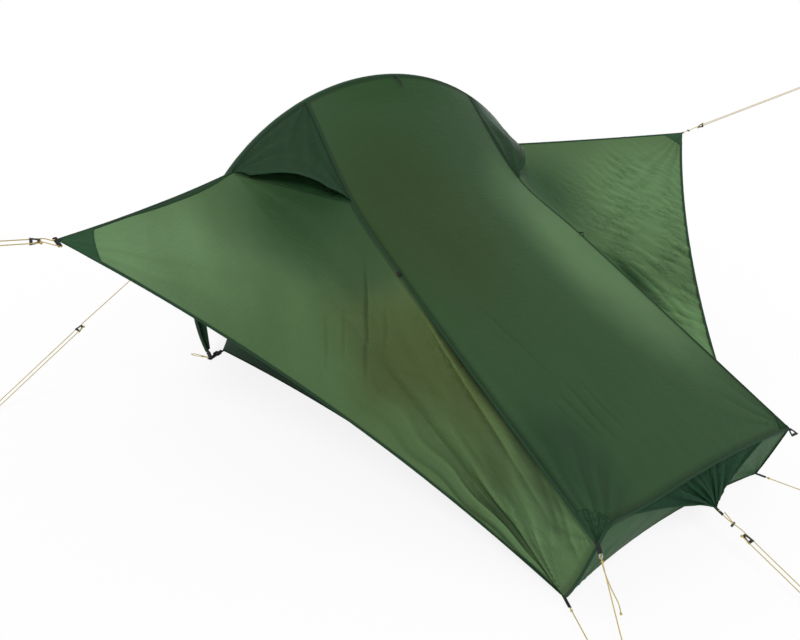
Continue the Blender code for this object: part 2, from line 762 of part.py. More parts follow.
def hood_axes(side):
    """Unit vectors of the vent: out of the tent's skin, and up the skin from the vent line."""
    line = vent_line(side)
    top = foot_seam(side)[0]
    along = unit(line[-1] - line[0])
    out = unit(np.cross(along, top - line[0]))
    if out[2] < 0:
        out = -out
    rise = top - line[0]
    rise = unit(rise - along * np.dot(rise, along))
    return out, rise


def vent_rows(side, columns):
    """Rows of points that fan from the seam's top down to the vent line."""
    sign = SIDES[side]
    seam = foot_seam(side)[:SEAM_STEPS + 1]
    edge = hoop_edge(sign * SEAM_ARC, sign * DOOR_TOP_ARC, SEAM_STEPS, -CLOTH_EDGE)
    edge[-1] = door_top(side)
    return np.array([straight_path(edge[i], seam[i], columns) for i in range(SEAM_STEPS + 1)])


def hood_grid(side):
    """The hood over the vent, which lifts into an arch along its lower edge."""
    out, rise = hood_axes(side)
    grid = vent_rows(side, HOOD_COLUMNS)
    for r in range(SEAM_STEPS + 1):
        reach = r / SEAM_STEPS
        for c in range(HOOD_COLUMNS + 1):
            swell = math.sin(math.pi * c / HOOD_COLUMNS)
            pleat = math.cos(2 * math.pi * HOOD_PLEATS * c / HOOD_COLUMNS) * swell * reach * (1 - reach)
            grid[r, c] += (out * (HOOD_SEAT + HOOD_LIFT * swell * reach**1.5
                                  + 4 * HOOD_PLEAT_DEPTH * pleat)
                           + rise * HOOD_ARCH * swell * reach**2)
    return grid


def build_vent(side):
    """The net over the vent, the hood above it and the stiff brim that holds the hood open."""
    grid_sheet("vent_net_" + side, "net", vent_rows(side, NET_COLUMNS), thickness=NET_CLOTH)
    hood = hood_grid(side)
    grid_sheet("vent_hood_" + side, "dark_cloth", hood, joined=False)

    line = vent_line(side)
    edge = smooth_path(hood[-1], 2)
    inner = smooth_path(hood[-2], 2)
    count = len(edge) - 1
    rings = []
    for step in range(BRIM_STEPS + 1):
        share = BRIM_START + (1 - 2 * BRIM_START) * step / BRIM_STEPS
        i = share * count
        low = min(int(i), count - 1)
        place = between(edge[low], edge[low + 1], i - low)
        behind = between(inner[low], inner[low + 1], i - low)
        run = unit(edge[low + 1] - edge[low])
        down = place - behind
        down = unit(down - run * np.dot(down, run))
        face = np.cross(run, down)
        centre = place + down * (GAP + BRIM_WIDTH / 2)
        rings.append(block_ring(centre, down, face, BRIM_WIDTH, BRIM_THICKNESS))
    loft("vent_brim_" + side, "dark_cloth", rings, origin=tuple(line[0]))


def build_foot_gusset():
    """The pleated vent at the foot, drawn out to a tip from the roof's lower edge."""
    top, _ = foot_end_edges()
    full = [p[0] for p in top]
    edge = []
    for c in range(GUSSET_COLUMNS + 1):
        x = GUSSET_REACH * (2 * c / GUSSET_COLUMNS - 1)
        y = np.interp(x, full, [p[1] for p in top])
        z = np.interp(x, full, [p[2] for p in top])
        edge.append((x, y - GUSSET_SEAT, z - GUSSET_SEAT))
    tip = np.array(GUSSET_TIP)
    grid = []
    for r in range(GUSSET_ROWS + 1):
        reach = r / GUSSET_ROWS
        row = []
        for c in range(GUSSET_COLUMNS + 1):
            u = 2 * c / GUSSET_COLUMNS - 1
            drop = reach * (1 - abs(u))
            place = between(edge[c], tip, drop)
            wave = math.sin(math.pi * GUSSET_PLEATS * (u + 1)) * reach * (1 - abs(u)) * (1 - reach)
            row.append(place + unit(np.array((0.0, -0.75, 0.65))) * 4 * GUSSET_PLEAT_DEPTH * wave)
        grid.append(row)
    grid_sheet("foot_vent_gusset", "dark_cloth", grid, joined=False)


def build_awning(side):
    """The door panel, guyed out flat from its fold line as an awning."""
    start, end = door_top(side), on_side(side, FOOT_BOTTOM)
    tip = np.array(AWNING_TIP[side])
    fold = end - start
    tip_share = np.dot(tip - start, fold) / np.dot(fold, fold)
    up = np.cross(fold, tip - start)
    up = unit(up if up[2] > 0 else -up)
    centre = (start + end + tip) / 3
    zip_bow = np.cross(unit(tip - start), up)
    zip_bow *= math.copysign(ZIP_EDGE_BOW[side], ZIP_EDGE_BOW[side] * np.dot(zip_bow, start - centre))
    hem_cut = np.cross(unit(end - tip), up)
    hem_cut *= math.copysign(HEM_CUT[side], np.dot(hem_cut, centre - tip))
    rim = np.vstack([bowed_edge(start, tip, ZIP_EDGE_STEPS, zip_bow)[:-1],
                     bowed_edge(tip, end, HEM_STEPS, hem_cut)])
    shares = np.concatenate([np.linspace(0.0, tip_share, ZIP_EDGE_STEPS + 1)[:-1],
                             np.linspace(tip_share, 1.0, HEM_STEPS + 1)])
    grid = []
    for r in range(AWNING_ROWS + 1):
        reach = r / AWNING_ROWS
        row = []
        for share, outer in zip(shares, rim):
            place = between(between(start, end, share), outer, reach)
            from_tip = place - tip
            angle = math.atan2(np.dot(np.cross(unit(start - tip), from_tip), up),
                               np.dot(unit(start - tip), from_tip) + 1e-9)
            fade = math.sin(math.pi * share) * reach * (1 - reach) * 4
            row.append(place + up * AWNING_FOLD_DEPTH * fade * math.sin(2 * AWNING_FOLDS * angle))
        grid.append(row)
    below = centre - UPWARD
    grid_sheet("awning_" + side, "awning_cloth", grid, inside=below, joined=False,
               origin=tuple(start - up * FLY_CLOTH))


def strut_place(corner, other_corner, beside_end, beside_side):
    """The strut's centre inside a corner, clear of the two panels that meet there."""
    edge = other_corner - corner
    inside = np.array(INSIDE_TENT)
    normals = []
    for beside in (beside_end, beside_side):
        normal = unit(np.cross(edge, beside - corner))
        normals.append(normal if np.dot(normal, corner - inside) > 0 else -normal)
    depth = FLY_CLOTH + STRUT_RADIUS + STRUT_CLEARANCE
    return corner + least_step(normals, [-depth, -depth])


def build_struts(side):
    """The short rods that stand in the flysheet's corners at both ends."""
    last, beside = (0, 1) if side == "left" else (-1, -2)
    for end, edges, panel in (("foot", foot_end_edges(), foot_side_grid(side)),
                              ("head", head_end_edges(), head_side_grid(side))):
        top, bottom = edges[0][last], edges[1][last]
        upper = strut_place(top, bottom, edges[0][beside], panel[0, -2])
        lower = strut_place(bottom, top, edges[1][beside], panel[-1, -2])
        along = unit(upper - lower)
        rod("corner_strut_%s_%s" % (end, side), "alloy", lower + along * STRUT_SETBACK,
            upper - along * STRUT_SETBACK, STRUT_RADIUS)


# Inner tent
def at_height(low, high, height):
    """The point at a height on the line from low to high."""
    return between(low, high, (height - low[2]) / (high[2] - low[2]))


def tub_corners(side):
    """The corners of the tub floor's top edge: wide, foot and head."""
    return (at_height(wide_corner(side), on_side(side, INNER_SHOULDER), TUB_HEIGHT),
            at_height(on_side(side, INNER_FOOT_CORNER), on_side(side, INNER_FOOT_SHOULDER), TUB_HEIGHT),
            at_height(on_side(side, INNER_HEAD_CORNER), on_side(side, INNER_HEAD_SHOULDER), TUB_HEIGHT))


def build_tub_floor():
    """The groundsheet, a tray whose sides are drawn in between the corners."""
    right = [on_side("right", INNER_FOOT_CORNER), wide_corner("right"),
             on_side("right", INNER_HEAD_CORNER)]
    ground = right + [p * MIRROR for p in reversed(right)]
    wide, foot, head = tub_corners("right")
    rim = [foot, wide, head] + [p * MIRROR for p in (head, wide, foot)]
    cuts = (TUB_SIDE_CUT, TUB_SIDE_CUT / 2, 0.0, TUB_SIDE_CUT / 2, TUB_SIDE_CUT, 0.0)
    low, high = [], []
    for i, cut in enumerate(cuts):
        j = (i + 1) % len(ground)
        steps = TUB_STEPS if cut else 2
        along = unit(ground[j] - ground[i])
        inward = np.cross(UPWARD, along)
        low += list(bowed_edge(ground[i], ground[j], steps, inward * cut)[:-1])
        high += list(straight_path(rim[i], rim[j], steps)[:-1])
    count = len(low)
    faces = [tuple(range(count))]
    faces += [(i, (i + 1) % count, count + (i + 1) % count, count + i) for i in range(count)]
    sheet("inner_tub_floor", "tub_cloth", low + high, faces, inside=(0.0, -0.3, 0.06),
          thickness=INNER_CLOTH)


def build_inner_side(side):
    """The inner tent's side wall with its doorway, and the door in it."""
    wide, foot, head = tub_corners(side)
    upper = [on_side(side, p) for p in (INNER_FOOT_SHOULDER, INNER_UNDER_TAB, INNER_UNDER_VENT,
                                        INNER_SHOULDER, INNER_HEAD_SHOULDER)]
    front = (abs(wide_corner(side)[0]) - INNER_DOOR_FRONT_CLEARANCE, INNER_DOOR_FRONT_Y,
             INNER_DOOR_SILL)
    door = [on_side(side, p) for p in (front, INNER_DOOR_BACK, INNER_DOOR_APEX)]
    points = list(straight_path(wide, foot, TUB_STEPS)) + list(straight_path(wide, head, TUB_STEPS))[1:]
    foot_rim = tuple(range(TUB_STEPS + 1))
    head_rim = (0,) + tuple(range(TUB_STEPS + 1, 2 * TUB_STEPS + 1))
    at_foot, at_tab, at_vent, at_hoop, at_head = range(len(points), len(points) + 5)
    at_front, at_back, at_apex = range(len(points) + 5, len(points) + 8)
    faces = [(at_front, a, b) for a, b in zip(foot_rim, foot_rim[1:])]
    faces += [(at_hoop, a, b) for a, b in zip(head_rim, head_rim[1:])]
    faces += [(foot_rim[-1], at_back, at_front), (foot_rim[-1], at_foot, at_back),
              (at_foot, at_tab, at_back), (at_tab, at_vent, at_apex, at_back),
              (at_vent, at_hoop, at_apex), (at_hoop, 0, at_front, at_apex),
              (at_hoop, at_head, head_rim[-1])]
    sheet("inner_side_" + side, "inner_cloth", points + upper + door, faces, thickness=INNER_CLOTH)
    outward = unit(np.cross(door[1] - door[0], door[2] - door[0]))
    outward = outward if outward[0] * SIDES[side] > 0 else -outward
    sheet("inner_door_" + side, "inner_cloth", door, [(0, 1, 2)], thickness=INNER_CLOTH,
          edge_gap=INNER_DOOR_GAP, joined=False, origin=tuple(door[0] - outward * INNER_CLOTH))


def crowned_row(low, rise):
    """A row of points from the left to the right side, raised in the middle."""
    return bowed_edge(on_side("left", low), low, INNER_COLUMNS, (0.0, 0.0, rise))


def build_inner_canopy():
    """The inner tent's roof on both sides of the hoop, with the end walls down to the tub."""
    foot = tub_corners("right")[1]
    head = tub_corners("right")[2]
    foot_rows = [crowned_row(p, INNER_CROWN * rise) for p, rise in (
        (INNER_SHOULDER, 1.0), (INNER_UNDER_VENT, 0.7), (INNER_UNDER_TAB, 0.4),
        (INNER_FOOT_SHOULDER, 0.15), (foot, 0.0))]
    head_rows = [crowned_row(p, INNER_CROWN * rise) for p, rise in (
        (INNER_SHOULDER, 1.0), (INNER_HEAD_SHOULDER, 0.2), (head, 0.0))]
    grid_sheet("inner_canopy_foot", "inner_cloth", foot_rows, thickness=INNER_CLOTH)
    grid_sheet("inner_canopy_head", "inner_cloth", head_rows, thickness=INNER_CLOTH)


# Zips
def build_zip(side):
    """The zip beside the sleeve below the door's top corner, and its slider."""
    sign = SIDES[side]
    y = -(CLOTH_EDGE + ZIP_WIDTH / 2)
    first = DOOR_TOP_ARC + ZIP_TOP_TRIM
    last = HOOP_HALF - SLEEVE_END_TRIM
    rings = []
    for step in range(ZIP_STEPS + 1):
        place, outward, _ = hoop_frame(sign * (first + (last - first) * step / ZIP_STEPS))
        rings.append(block_ring(place + HEAD_WARD * y, HEAD_WARD, outward, ZIP_WIDTH, ZIP_DEPTH))
    loft("door_zip_" + side, "zip", rings)

    place, outward, along = hoop_frame(sign * (DOOR_TOP_ARC + SLIDER_REST_ARC))
    down = along * sign
    lift = ZIP_DEPTH / 2 + GAP + SLIDER_HEIGHT / 2
    centre = place + HEAD_WARD * y + outward * lift
    tab_centre = centre + outward * (SLIDER_HEIGHT - TAB_THICKNESS) / 2
    half = SLIDER_LENGTH / 2
    rings = [block_ring(centre - down * half, HEAD_WARD, outward, SLIDER_WIDTH, SLIDER_HEIGHT),
             block_ring(centre + down * half, HEAD_WARD, outward, SLIDER_WIDTH, SLIDER_HEIGHT),
             block_ring(tab_centre + down * half, HEAD_WARD, outward, TAB_WIDTH, TAB_THICKNESS),
             block_ring(tab_centre + down * (half + TAB_LENGTH), HEAD_WARD, outward, TAB_WIDTH,
                        TAB_THICKNESS)]
    loft("zip_slider_" + side, "black_plastic", rings,
         origin=(sign * SIDE_CENTRE_X, 0.0, SIDE_CENTRE_HEIGHT))


# Guylines
def line_frame(start, end):
    """Unit vectors along a guyline, upwards square to it, and sideways."""
    along = unit(np.array(end) - np.array(start))
    rise = unit(UPWARD - along * np.dot(UPWARD, along))
    return along, rise, np.cross(along, rise)


def strand_offset(rise, aside):
    """How far each strand of a doubled line lies from its middle, clear of the adjuster."""
    return rise * STRAND_SPREAD + aside * (ADJUSTER_THICKNESS / 2 + CORD_DIAMETER / 2 + 2 * GAP)


def doubled_route(start, end, split, tail):
    """A line that runs single to split, opens out, turns at its end and comes back to tail."""
    along, rise, aside = line_frame(start, end)
    offset = strand_offset(rise, aside)
    radius = np.linalg.norm(offset)
    length = np.linalg.norm(np.array(end) - start) - radius
    spread = unit(offset)
    route = [start, start + along * split * 0.5]
    route += [start + along * split + offset]
    route += [start + along * (split + (length - split) * i / 4) + offset for i in (1, 2, 3)]
    for step in range(BIGHT_STEPS + 1):
        turn = math.pi * step / BIGHT_STEPS
        route.append(start + along * (length + radius * math.sin(turn)) + spread * radius * math.cos(turn))
    route += [start + along * (length + (tail - length) * i / 4) - offset for i in (1, 2, 3, 4)]
    return smooth_path(route, CORD_STEPS)


def looped_route(start, end):
    """A single line that ends in a small open eye beyond its end."""
    along, _, aside = line_frame(start, end)
    route = [between(start, end, i / 4) for i in range(5)]
    centre = np.array(end) + along * EYE_RADIUS * EYE_REACH
    for step in range(1, EYE_STEPS + 1):
        turn = math.pi + EYE_TURN * step / EYE_STEPS
        route.append(centre + (along * math.cos(turn) - aside * math.sin(turn)) * EYE_RADIUS)
    return smooth_path(route, CORD_STEPS)


def adjuster(name, start, end, distance, origin):
    """A flat tapered adjuster with an eye, between the strands of a doubled line."""
    along, rise, aside = line_frame(start, end)
    centre = np.array(start) + along * distance
    outline = ((-0.5, -0.2), (-0.5, 0.2), (0.0, 0.38), (0.5, 0.5), (0.5, 0.17), (0.5, -0.17),
               (0.5, -0.5), (0.0, -0.38))
    rings = []
    for face, shrink in ((0.5, 1.0), (0.5, ADJUSTER_HOLE_SHARE), (-0.5, ADJUSTER_HOLE_SHARE), (-0.5, 1.0)):
        rings.append([centre + along * ADJUSTER_LENGTH * x * shrink + rise * ADJUSTER_WIDTH * u * shrink
                      + aside * ADJUSTER_THICKNESS * face for x, u in outline])
    loft(name, "black_plastic", rings, wrap=True, origin=tuple(origin))


def build_tip_line(side):
    """The guyline of an awning's tip with its adjuster."""
    tip = np.array(AWNING_TIP[side])
    along = unit(TIP_LINE_DIRECTION[side])
    start = tip + along * TIP_CORD_EXIT
    end = tip + along * TIP_LINE_LENGTH[side]
    distance = TIP_ADJUSTER_AT[side]
    split = distance - STRAND_LEAD
    cord("tip_line_" + side, doubled_route(start, end, split, distance - ADJUSTER_LENGTH / 2), tip)
    adjuster("tip_adjuster_" + side, start, end, distance, start + along * distance)


def build_ground_lines():
    """The guylines of the hoop, the foot vent and the foot end's corners."""
    place, outward = bent_frame(-arc_at_height(HOOP_GUY_HEIGHT))
    start = place + outward * (SLEEVE_HALF_DEPTH + CORD_DIAMETER / 2 + GAP)
    end = np.array(HOOP_GUY_PEG)
    split = HOOP_ADJUSTER_AT - STRAND_LEAD
    cord("hoop_guy_line", doubled_route(start, end, split, HOOP_ADJUSTER_AT - ADJUSTER_LENGTH / 2))
    adjuster("hoop_guy_adjuster", start, end, HOOP_ADJUSTER_AT, start)

    end = np.array(FOOT_GUY_PEG)
    start = np.array(GUSSET_TIP) + unit(end - GUSSET_TIP) * TIP_CORD_EXIT
    split = FOOT_ADJUSTER_AT - STRAND_LEAD
    cord("foot_guy_line", doubled_route(start, end, split, FOOT_ADJUSTER_AT - ADJUSTER_LENGTH / 2))
    adjuster("foot_guy_adjuster", start, end, FOOT_ADJUSTER_AT, start)

    for side in SIDES:
        corner = on_side(side, FOOT_BOTTOM)
        end = on_side(side, CORNER_PEG)
        start = corner + unit(end - corner) * CORD_EXIT
        cord("corner_line_" + side, looped_route(start, end))

    corner = on_side("left", FOOT_TOP)
    end = np.array(EDGE_PEG)
    start = corner + unit(end - corner) * EDGE_LINE_EXIT
    cord("edge_line_left", looped_route(start, end))


def build_leg_loop():
    """The cord loop beside the hoop's left foot."""
    tip, _ = bent_frame(-HOOP_HALF)
    end = np.array(LEG_LOOP_END)
    foot = np.array((tip[0], tip[1], end[2]))
    along = unit(end - foot)
    start = foot + along * (CUP_RADIUS + 2 * GAP)
    aside = unit(np.cross(UPWARD, along))
    neck = aside * LEG_LOOP_NECK
    belly = aside * LEG_LOOP_BELLY
    knots = [start + neck, between(start, end, 0.35) + neck, between(start, end, 0.8) + belly,
             end, between(start, end, 0.8) - belly, between(start, end, 0.35) - neck, start - neck]
    cord("leg_loop_left", smooth_path(knots, LOOP_STEPS))


def build_edge_buckle():
    """The buckle at the right top corner of the foot end."""
    corner = np.array(FOOT_TOP)
    along = unit(EDGE_BUCKLE_DIRECTION)
    start = corner + along * EDGE_BUCKLE_SETBACK
    adjuster("edge_buckle_right", start, start + along, ADJUSTER_LENGTH / 2, start)


def main():
    """Build the whole tent."""
    clear_scene()
    build_pole()
    build_sleeve()
    build_fly_roof()
    build_foot_gusset()
    build_tub_floor()
    build_inner_canopy()
    for side in SIDES:
        build_feet(side)
        build_fly_sides(side)
        build_vent(side)
        build_awning(side)
        build_struts(side)
        build_inner_side(side)
        build_zip(side)
        build_tip_line(side)
    build_sheets()
    build_ground_lines()
    build_leg_loop()
    build_edge_buckle()


main()
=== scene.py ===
"""Dressing of a two-person tent on a single hoop, pitched with both side doors out as awnings.

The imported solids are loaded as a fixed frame.  The cloths, seams, zips and cords are made here in
fine form over them, in metres and in the same frame: the foot end points to -Y and left is -X.
"""

import json
import logging
import math
from collections.abc import Callable, Mapping, Sequence
from dataclasses import dataclass, field, fields, replace
from enum import Enum
from typing import Any

import bpy
import numpy as np
from mathutils import Matrix, Vector

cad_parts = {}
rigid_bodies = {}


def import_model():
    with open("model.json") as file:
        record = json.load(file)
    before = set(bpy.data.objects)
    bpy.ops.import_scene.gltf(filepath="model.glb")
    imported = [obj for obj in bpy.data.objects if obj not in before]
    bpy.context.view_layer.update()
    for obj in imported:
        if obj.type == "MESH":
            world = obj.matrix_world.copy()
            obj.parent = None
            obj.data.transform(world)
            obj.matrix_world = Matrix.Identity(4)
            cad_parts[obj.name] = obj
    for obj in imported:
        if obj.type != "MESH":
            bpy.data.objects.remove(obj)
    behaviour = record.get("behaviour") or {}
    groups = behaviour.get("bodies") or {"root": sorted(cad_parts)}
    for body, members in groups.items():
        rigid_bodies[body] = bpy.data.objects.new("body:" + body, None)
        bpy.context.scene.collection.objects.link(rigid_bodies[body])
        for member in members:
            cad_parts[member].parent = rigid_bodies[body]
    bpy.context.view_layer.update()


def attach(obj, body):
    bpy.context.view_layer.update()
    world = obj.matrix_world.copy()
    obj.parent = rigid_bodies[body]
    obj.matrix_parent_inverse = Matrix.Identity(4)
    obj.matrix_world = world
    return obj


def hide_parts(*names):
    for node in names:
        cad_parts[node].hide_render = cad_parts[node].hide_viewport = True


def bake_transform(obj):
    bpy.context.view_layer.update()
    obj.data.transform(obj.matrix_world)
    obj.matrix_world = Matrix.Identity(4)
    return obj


Colour = tuple[float, float, float]
Point = Sequence[float]

LOG = logging.getLogger("tent")
CAMERA_PLACE: Point = (-1.4625, -2.1911, 1.3278)
INSIDE_TENT: Point = (0.0, -0.4, 0.25)
UPWARD = np.array((0.0, 0.0, 1.0))
HEAD_WARD = np.array((0.0, 1.0, 0.0))
FINE = 8
ALL_EDGES = (0, 1, 2, 3)
CORD_WIDTH = 0.0028
PATCH_HEM = 0.004
PATCH_LIFT = 0.0014


class Side(Enum):
    """The two sides of the tent."""

    LEFT = "left"
    RIGHT = "right"

    @property
    def sign(self) -> float:
        """The side's direction along X."""
        return -1.0 if self is Side.LEFT else 1.0

    def place(self, values: Point) -> np.ndarray:
        """A point given for the right side, moved to this one."""
        return np.array(values, dtype=float) * (self.sign, 1.0, 1.0)


# Curves and grids of points
def unit(vector: Point) -> np.ndarray:
    """The vector, or each row of vectors, at length one."""
    vector = np.asarray(vector, dtype=float)
    return vector / np.maximum(np.linalg.norm(vector, axis=-1, keepdims=True), 1e-12)


def reach_of(vectors: np.ndarray) -> np.ndarray:
    """The length of each row of vectors."""
    return np.linalg.norm(vectors, axis=-1)


def shares(steps: int) -> np.ndarray:
    """Evenly spaced numbers from 0 to 1."""
    return np.linspace(0.0, 1.0, steps + 1)


def eased(value: np.ndarray) -> np.ndarray:
    """A smooth step from 0 to 1 as the value goes from 0 to 1."""
    held = np.clip(value, 0.0, 1.0)
    return held * held * (3.0 - 2.0 * held)


def line(start: Point, end: Point, steps: int) -> np.ndarray:
    """Evenly spaced points from start to end."""
    share = shares(steps)[:, None]
    return np.asarray(start) * (1 - share) + np.asarray(end) * share


def bowed(start: Point, end: Point, steps: int, bow: Point) -> np.ndarray:
    """A line from start to end that bows by the given vector at its middle."""
    spot = np.linspace(-1.0, 1.0, steps + 1)[:, None]
    return line(start, end, steps) + np.asarray(bow) * (1 - spot * spot)


def smooth_path(knots: Sequence[Point], steps: int) -> np.ndarray:
    """Draw a smooth curve through knots.

    Args:
        knots: The points that the curve runs through.
        steps: How many steps each stretch gets.

    Returns:
        The curve's points, one row each.
    """
    knots = np.array(knots, dtype=float)
    times = np.concatenate([[0.0], np.cumsum(np.sqrt(reach_of(np.diff(knots, axis=0))))])
    slopes = np.diff(knots, axis=0) / np.diff(times)[:, None]
    across = (knots[2:] - knots[:-2]) / (times[2:] - times[:-2])[:, None]
    tangents = np.vstack([slopes[:1], slopes[:-1] + slopes[1:] - across, slopes[-1:]])
    t = (np.arange(steps) / steps)[:, None]
    stretches = []
    for i, span in enumerate(np.diff(times)):
        stretches.append(knots[i] * (1 + 2 * t) * (1 - t)**2 + tangents[i] * span * t * (1 - t)**2
                         + knots[i + 1] * t**2 * (3 - 2 * t)
                         - tangents[i + 1] * span * t**2 * (1 - t))
    return np.vstack(stretches + [knots[-1:]])


def patch(first_row: np.ndarray, last_row: np.ndarray, first_column: np.ndarray,
          last_column: np.ndarray) -> np.ndarray:
    """Blend four edge curves into a Coons patch.

    Args:
        first_row: The edge along the columns at the first row.
        last_row: The edge along the columns at the last row.
        first_column: The edge down the rows at the first column.
        last_column: The edge down the rows at the last column.

    Returns:
        The grid of points, rows by columns by three.
    """
    v = shares(len(first_column) - 1)[:, None, None]
    u = shares(len(first_row) - 1)[None, :, None]
    ruled = ((1 - v) * first_row[None] + v * last_row[None]
             + (1 - u) * first_column[:, None] + u * last_column[:, None])
    corners = ((1 - v) * ((1 - u) * first_row[0] + u * first_row[-1])
               + v * ((1 - u) * last_row[0] + u * last_row[-1]))
    return ruled - corners


def four_sided(corners: Sequence[Point], steps: int, rows: int) -> np.ndarray:
    """A patch between straight edges, its corners given row by row."""
    a, b, c, d = corners
    return patch(line(a, b, steps), line(c, d, steps), line(a, c, rows), line(b, d, rows))


def refined(grid: np.ndarray) -> np.ndarray:
    """Halve a grid's steps both ways, along smooth curves through its points.

    Args:
        grid: The grid, rows by columns by three.

    Returns:
        The finer grid, which still holds the first one's points.
    """
    for axis in (0, 1):
        known = np.moveaxis(grid, axis, 0)
        between = (known[1:] + known[:-1]) / 2
        between[1:-1] += (known[1:-2] + known[2:-1] - known[:-3] - known[3:]) / 16
        finer = np.empty((2 * len(known) - 1,) + known.shape[1:])
        finer[0::2], finer[1::2] = known, between
        grid = np.moveaxis(finer, 0, axis)
    return grid


def at_lengths(path: np.ndarray, lengths: np.ndarray) -> np.ndarray:
    """The points of a path at lengths from its start."""
    run = np.concatenate([[0.0], np.cumsum(reach_of(np.diff(path, axis=0)))])
    return np.stack([np.interp(lengths, run, path[:, i]) for i in range(3)], axis=-1)


def tongue(first: np.ndarray, second: np.ndarray, lengths: Sequence[float], bulge: float) -> np.ndarray:
    """Fill the corner between two edges.

    Args:
        first: One edge's points, from the corner.
        second: The other edge's points, from the corner.
        lengths: How far the shape reaches along each.
        bulge: How far its free edge bows out, as a share, or in where negative.

    Returns:
        The grid of points, from the corner outwards.
    """
    spread = shares(32)[None, :, None]
    near = at_lengths(first, shares(16) * lengths[0]) - first[0]
    far = at_lengths(second, shares(16) * lengths[1]) - first[0]
    blend = near[:, None] * (1 - spread) + far[:, None] * spread
    return first[0] + blend * (1 + bulge * np.sin(math.pi * spread))


# Node trees
def operator(operation: str, swapped: bool = False) -> Callable[["Value", "Value | float"], "Value"]:
    """Make an operator of node maths.

    Args:
        operation: The Math node's operation.
        swapped: Whether the other value comes first.

    Returns:
        The method, which adds one Math node at each use.
    """
    def combine(self: "Value", other: "Value | float") -> "Value":
        """The operation's result on both values."""
        return self.graph.maths(operation, *((other, self) if swapped else (self, other)))
    return combine


class Value:
    """One output socket with the operators of node maths."""

    __add__ = __radd__ = operator("ADD")
    __sub__ = operator("SUBTRACT")
    __rsub__ = operator("SUBTRACT", swapped=True)
    __mul__ = __rmul__ = operator("MULTIPLY")
    __truediv__ = operator("DIVIDE")
    __mod__ = operator("MODULO")
    below = operator("LESS_THAN")
    folded = operator("PINGPONG")

    def __init__(self, graph: "Graph", socket: bpy.types.NodeSocket) -> None:
        """Keep the socket and the graph that it belongs to."""
        self.graph = graph
        self.socket = socket

    def eased(self, low: float, high: float) -> "Value":
        """A smooth step from 0 at low to 1 at high."""
        return self.graph.value("ShaderNodeMapRange", {"interpolation_type": "SMOOTHSTEP"},
                                {"Value": self, "From Min": low, "From Max": high}, "Result")


class Graph:
    """A node tree that grows by one method for any node."""

    def __init__(self, tree: bpy.types.NodeTree) -> None:
        """Keep the tree."""
        self.tree = tree

    def add(self, kind: str, settings: Mapping[str, Any] | None = None,
            inputs: Mapping[str | int, Any] | None = None) -> bpy.types.Node:
        """Add a node.

        Args:
            kind: The node's type.
            settings: Its own settings, set first.
            inputs: What its sockets hold: a value, or another node's output.

        Returns:
            The node.
        """
        node = self.tree.nodes.new(kind)
        for name, setting in (settings or {}).items():
            setattr(node, name, setting)
        for key, held in (inputs or {}).items():
            socket = node.inputs[key] if isinstance(key, int) else next(
                s for s in node.inputs if s.name == key and s.enabled)
            if isinstance(held, (Value, bpy.types.NodeSocket)):
                self.tree.links.new(getattr(held, "socket", held), socket)
            else:
                socket.default_value = held
        return node

    def value(self, kind: str, settings: Mapping[str, Any] | None = None,
              inputs: Mapping[str | int, Any] | None = None, output: str | int = 0) -> Value:
        """Add a node, and give the output of that name or number."""
        node = self.add(kind, settings, inputs)
        if isinstance(output, int):
            return Value(self, [s for s in node.outputs if s.enabled][output])
        return Value(self, node.outputs[output])

    def maths(self, operation: str, *operands: Value | float) -> Value:
        """One Math node on the operands."""
        return self.value("ShaderNodeMath", {"operation": operation}, dict(enumerate(operands)))

    def vector(self, operation: str, *operands: Value | Point) -> Value:
        """One Vector Math node on the operands."""
        return self.value("ShaderNodeVectorMath", {"operation": operation}, dict(enumerate(operands)))

    def scaled(self, vector: Value, factor: Value | float) -> Value:
        """A vector or colour made longer or brighter by a factor."""
        return self.value("ShaderNodeVectorMath", {"operation": "SCALE"},
                          {"Vector": vector, "Scale": factor})

    def combined(self, x: Value | float, y: Value | float, z: Value | float) -> Value:
        """A vector of three numbers."""
        return self.value("ShaderNodeCombineXYZ", None, {"X": x, "Y": y, "Z": z})

    def noise(self, place: Value, scale: float, detail: float = 2.0, roughness: float = 0.5,
              distortion: float = 0.0) -> Value:
        """Cloudy noise from 0 to 1 over a place."""
        return self.value("ShaderNodeTexNoise", None,
                          {"Vector": place, "Scale": scale, "Detail": detail,
                           "Roughness": roughness, "Distortion": distortion})


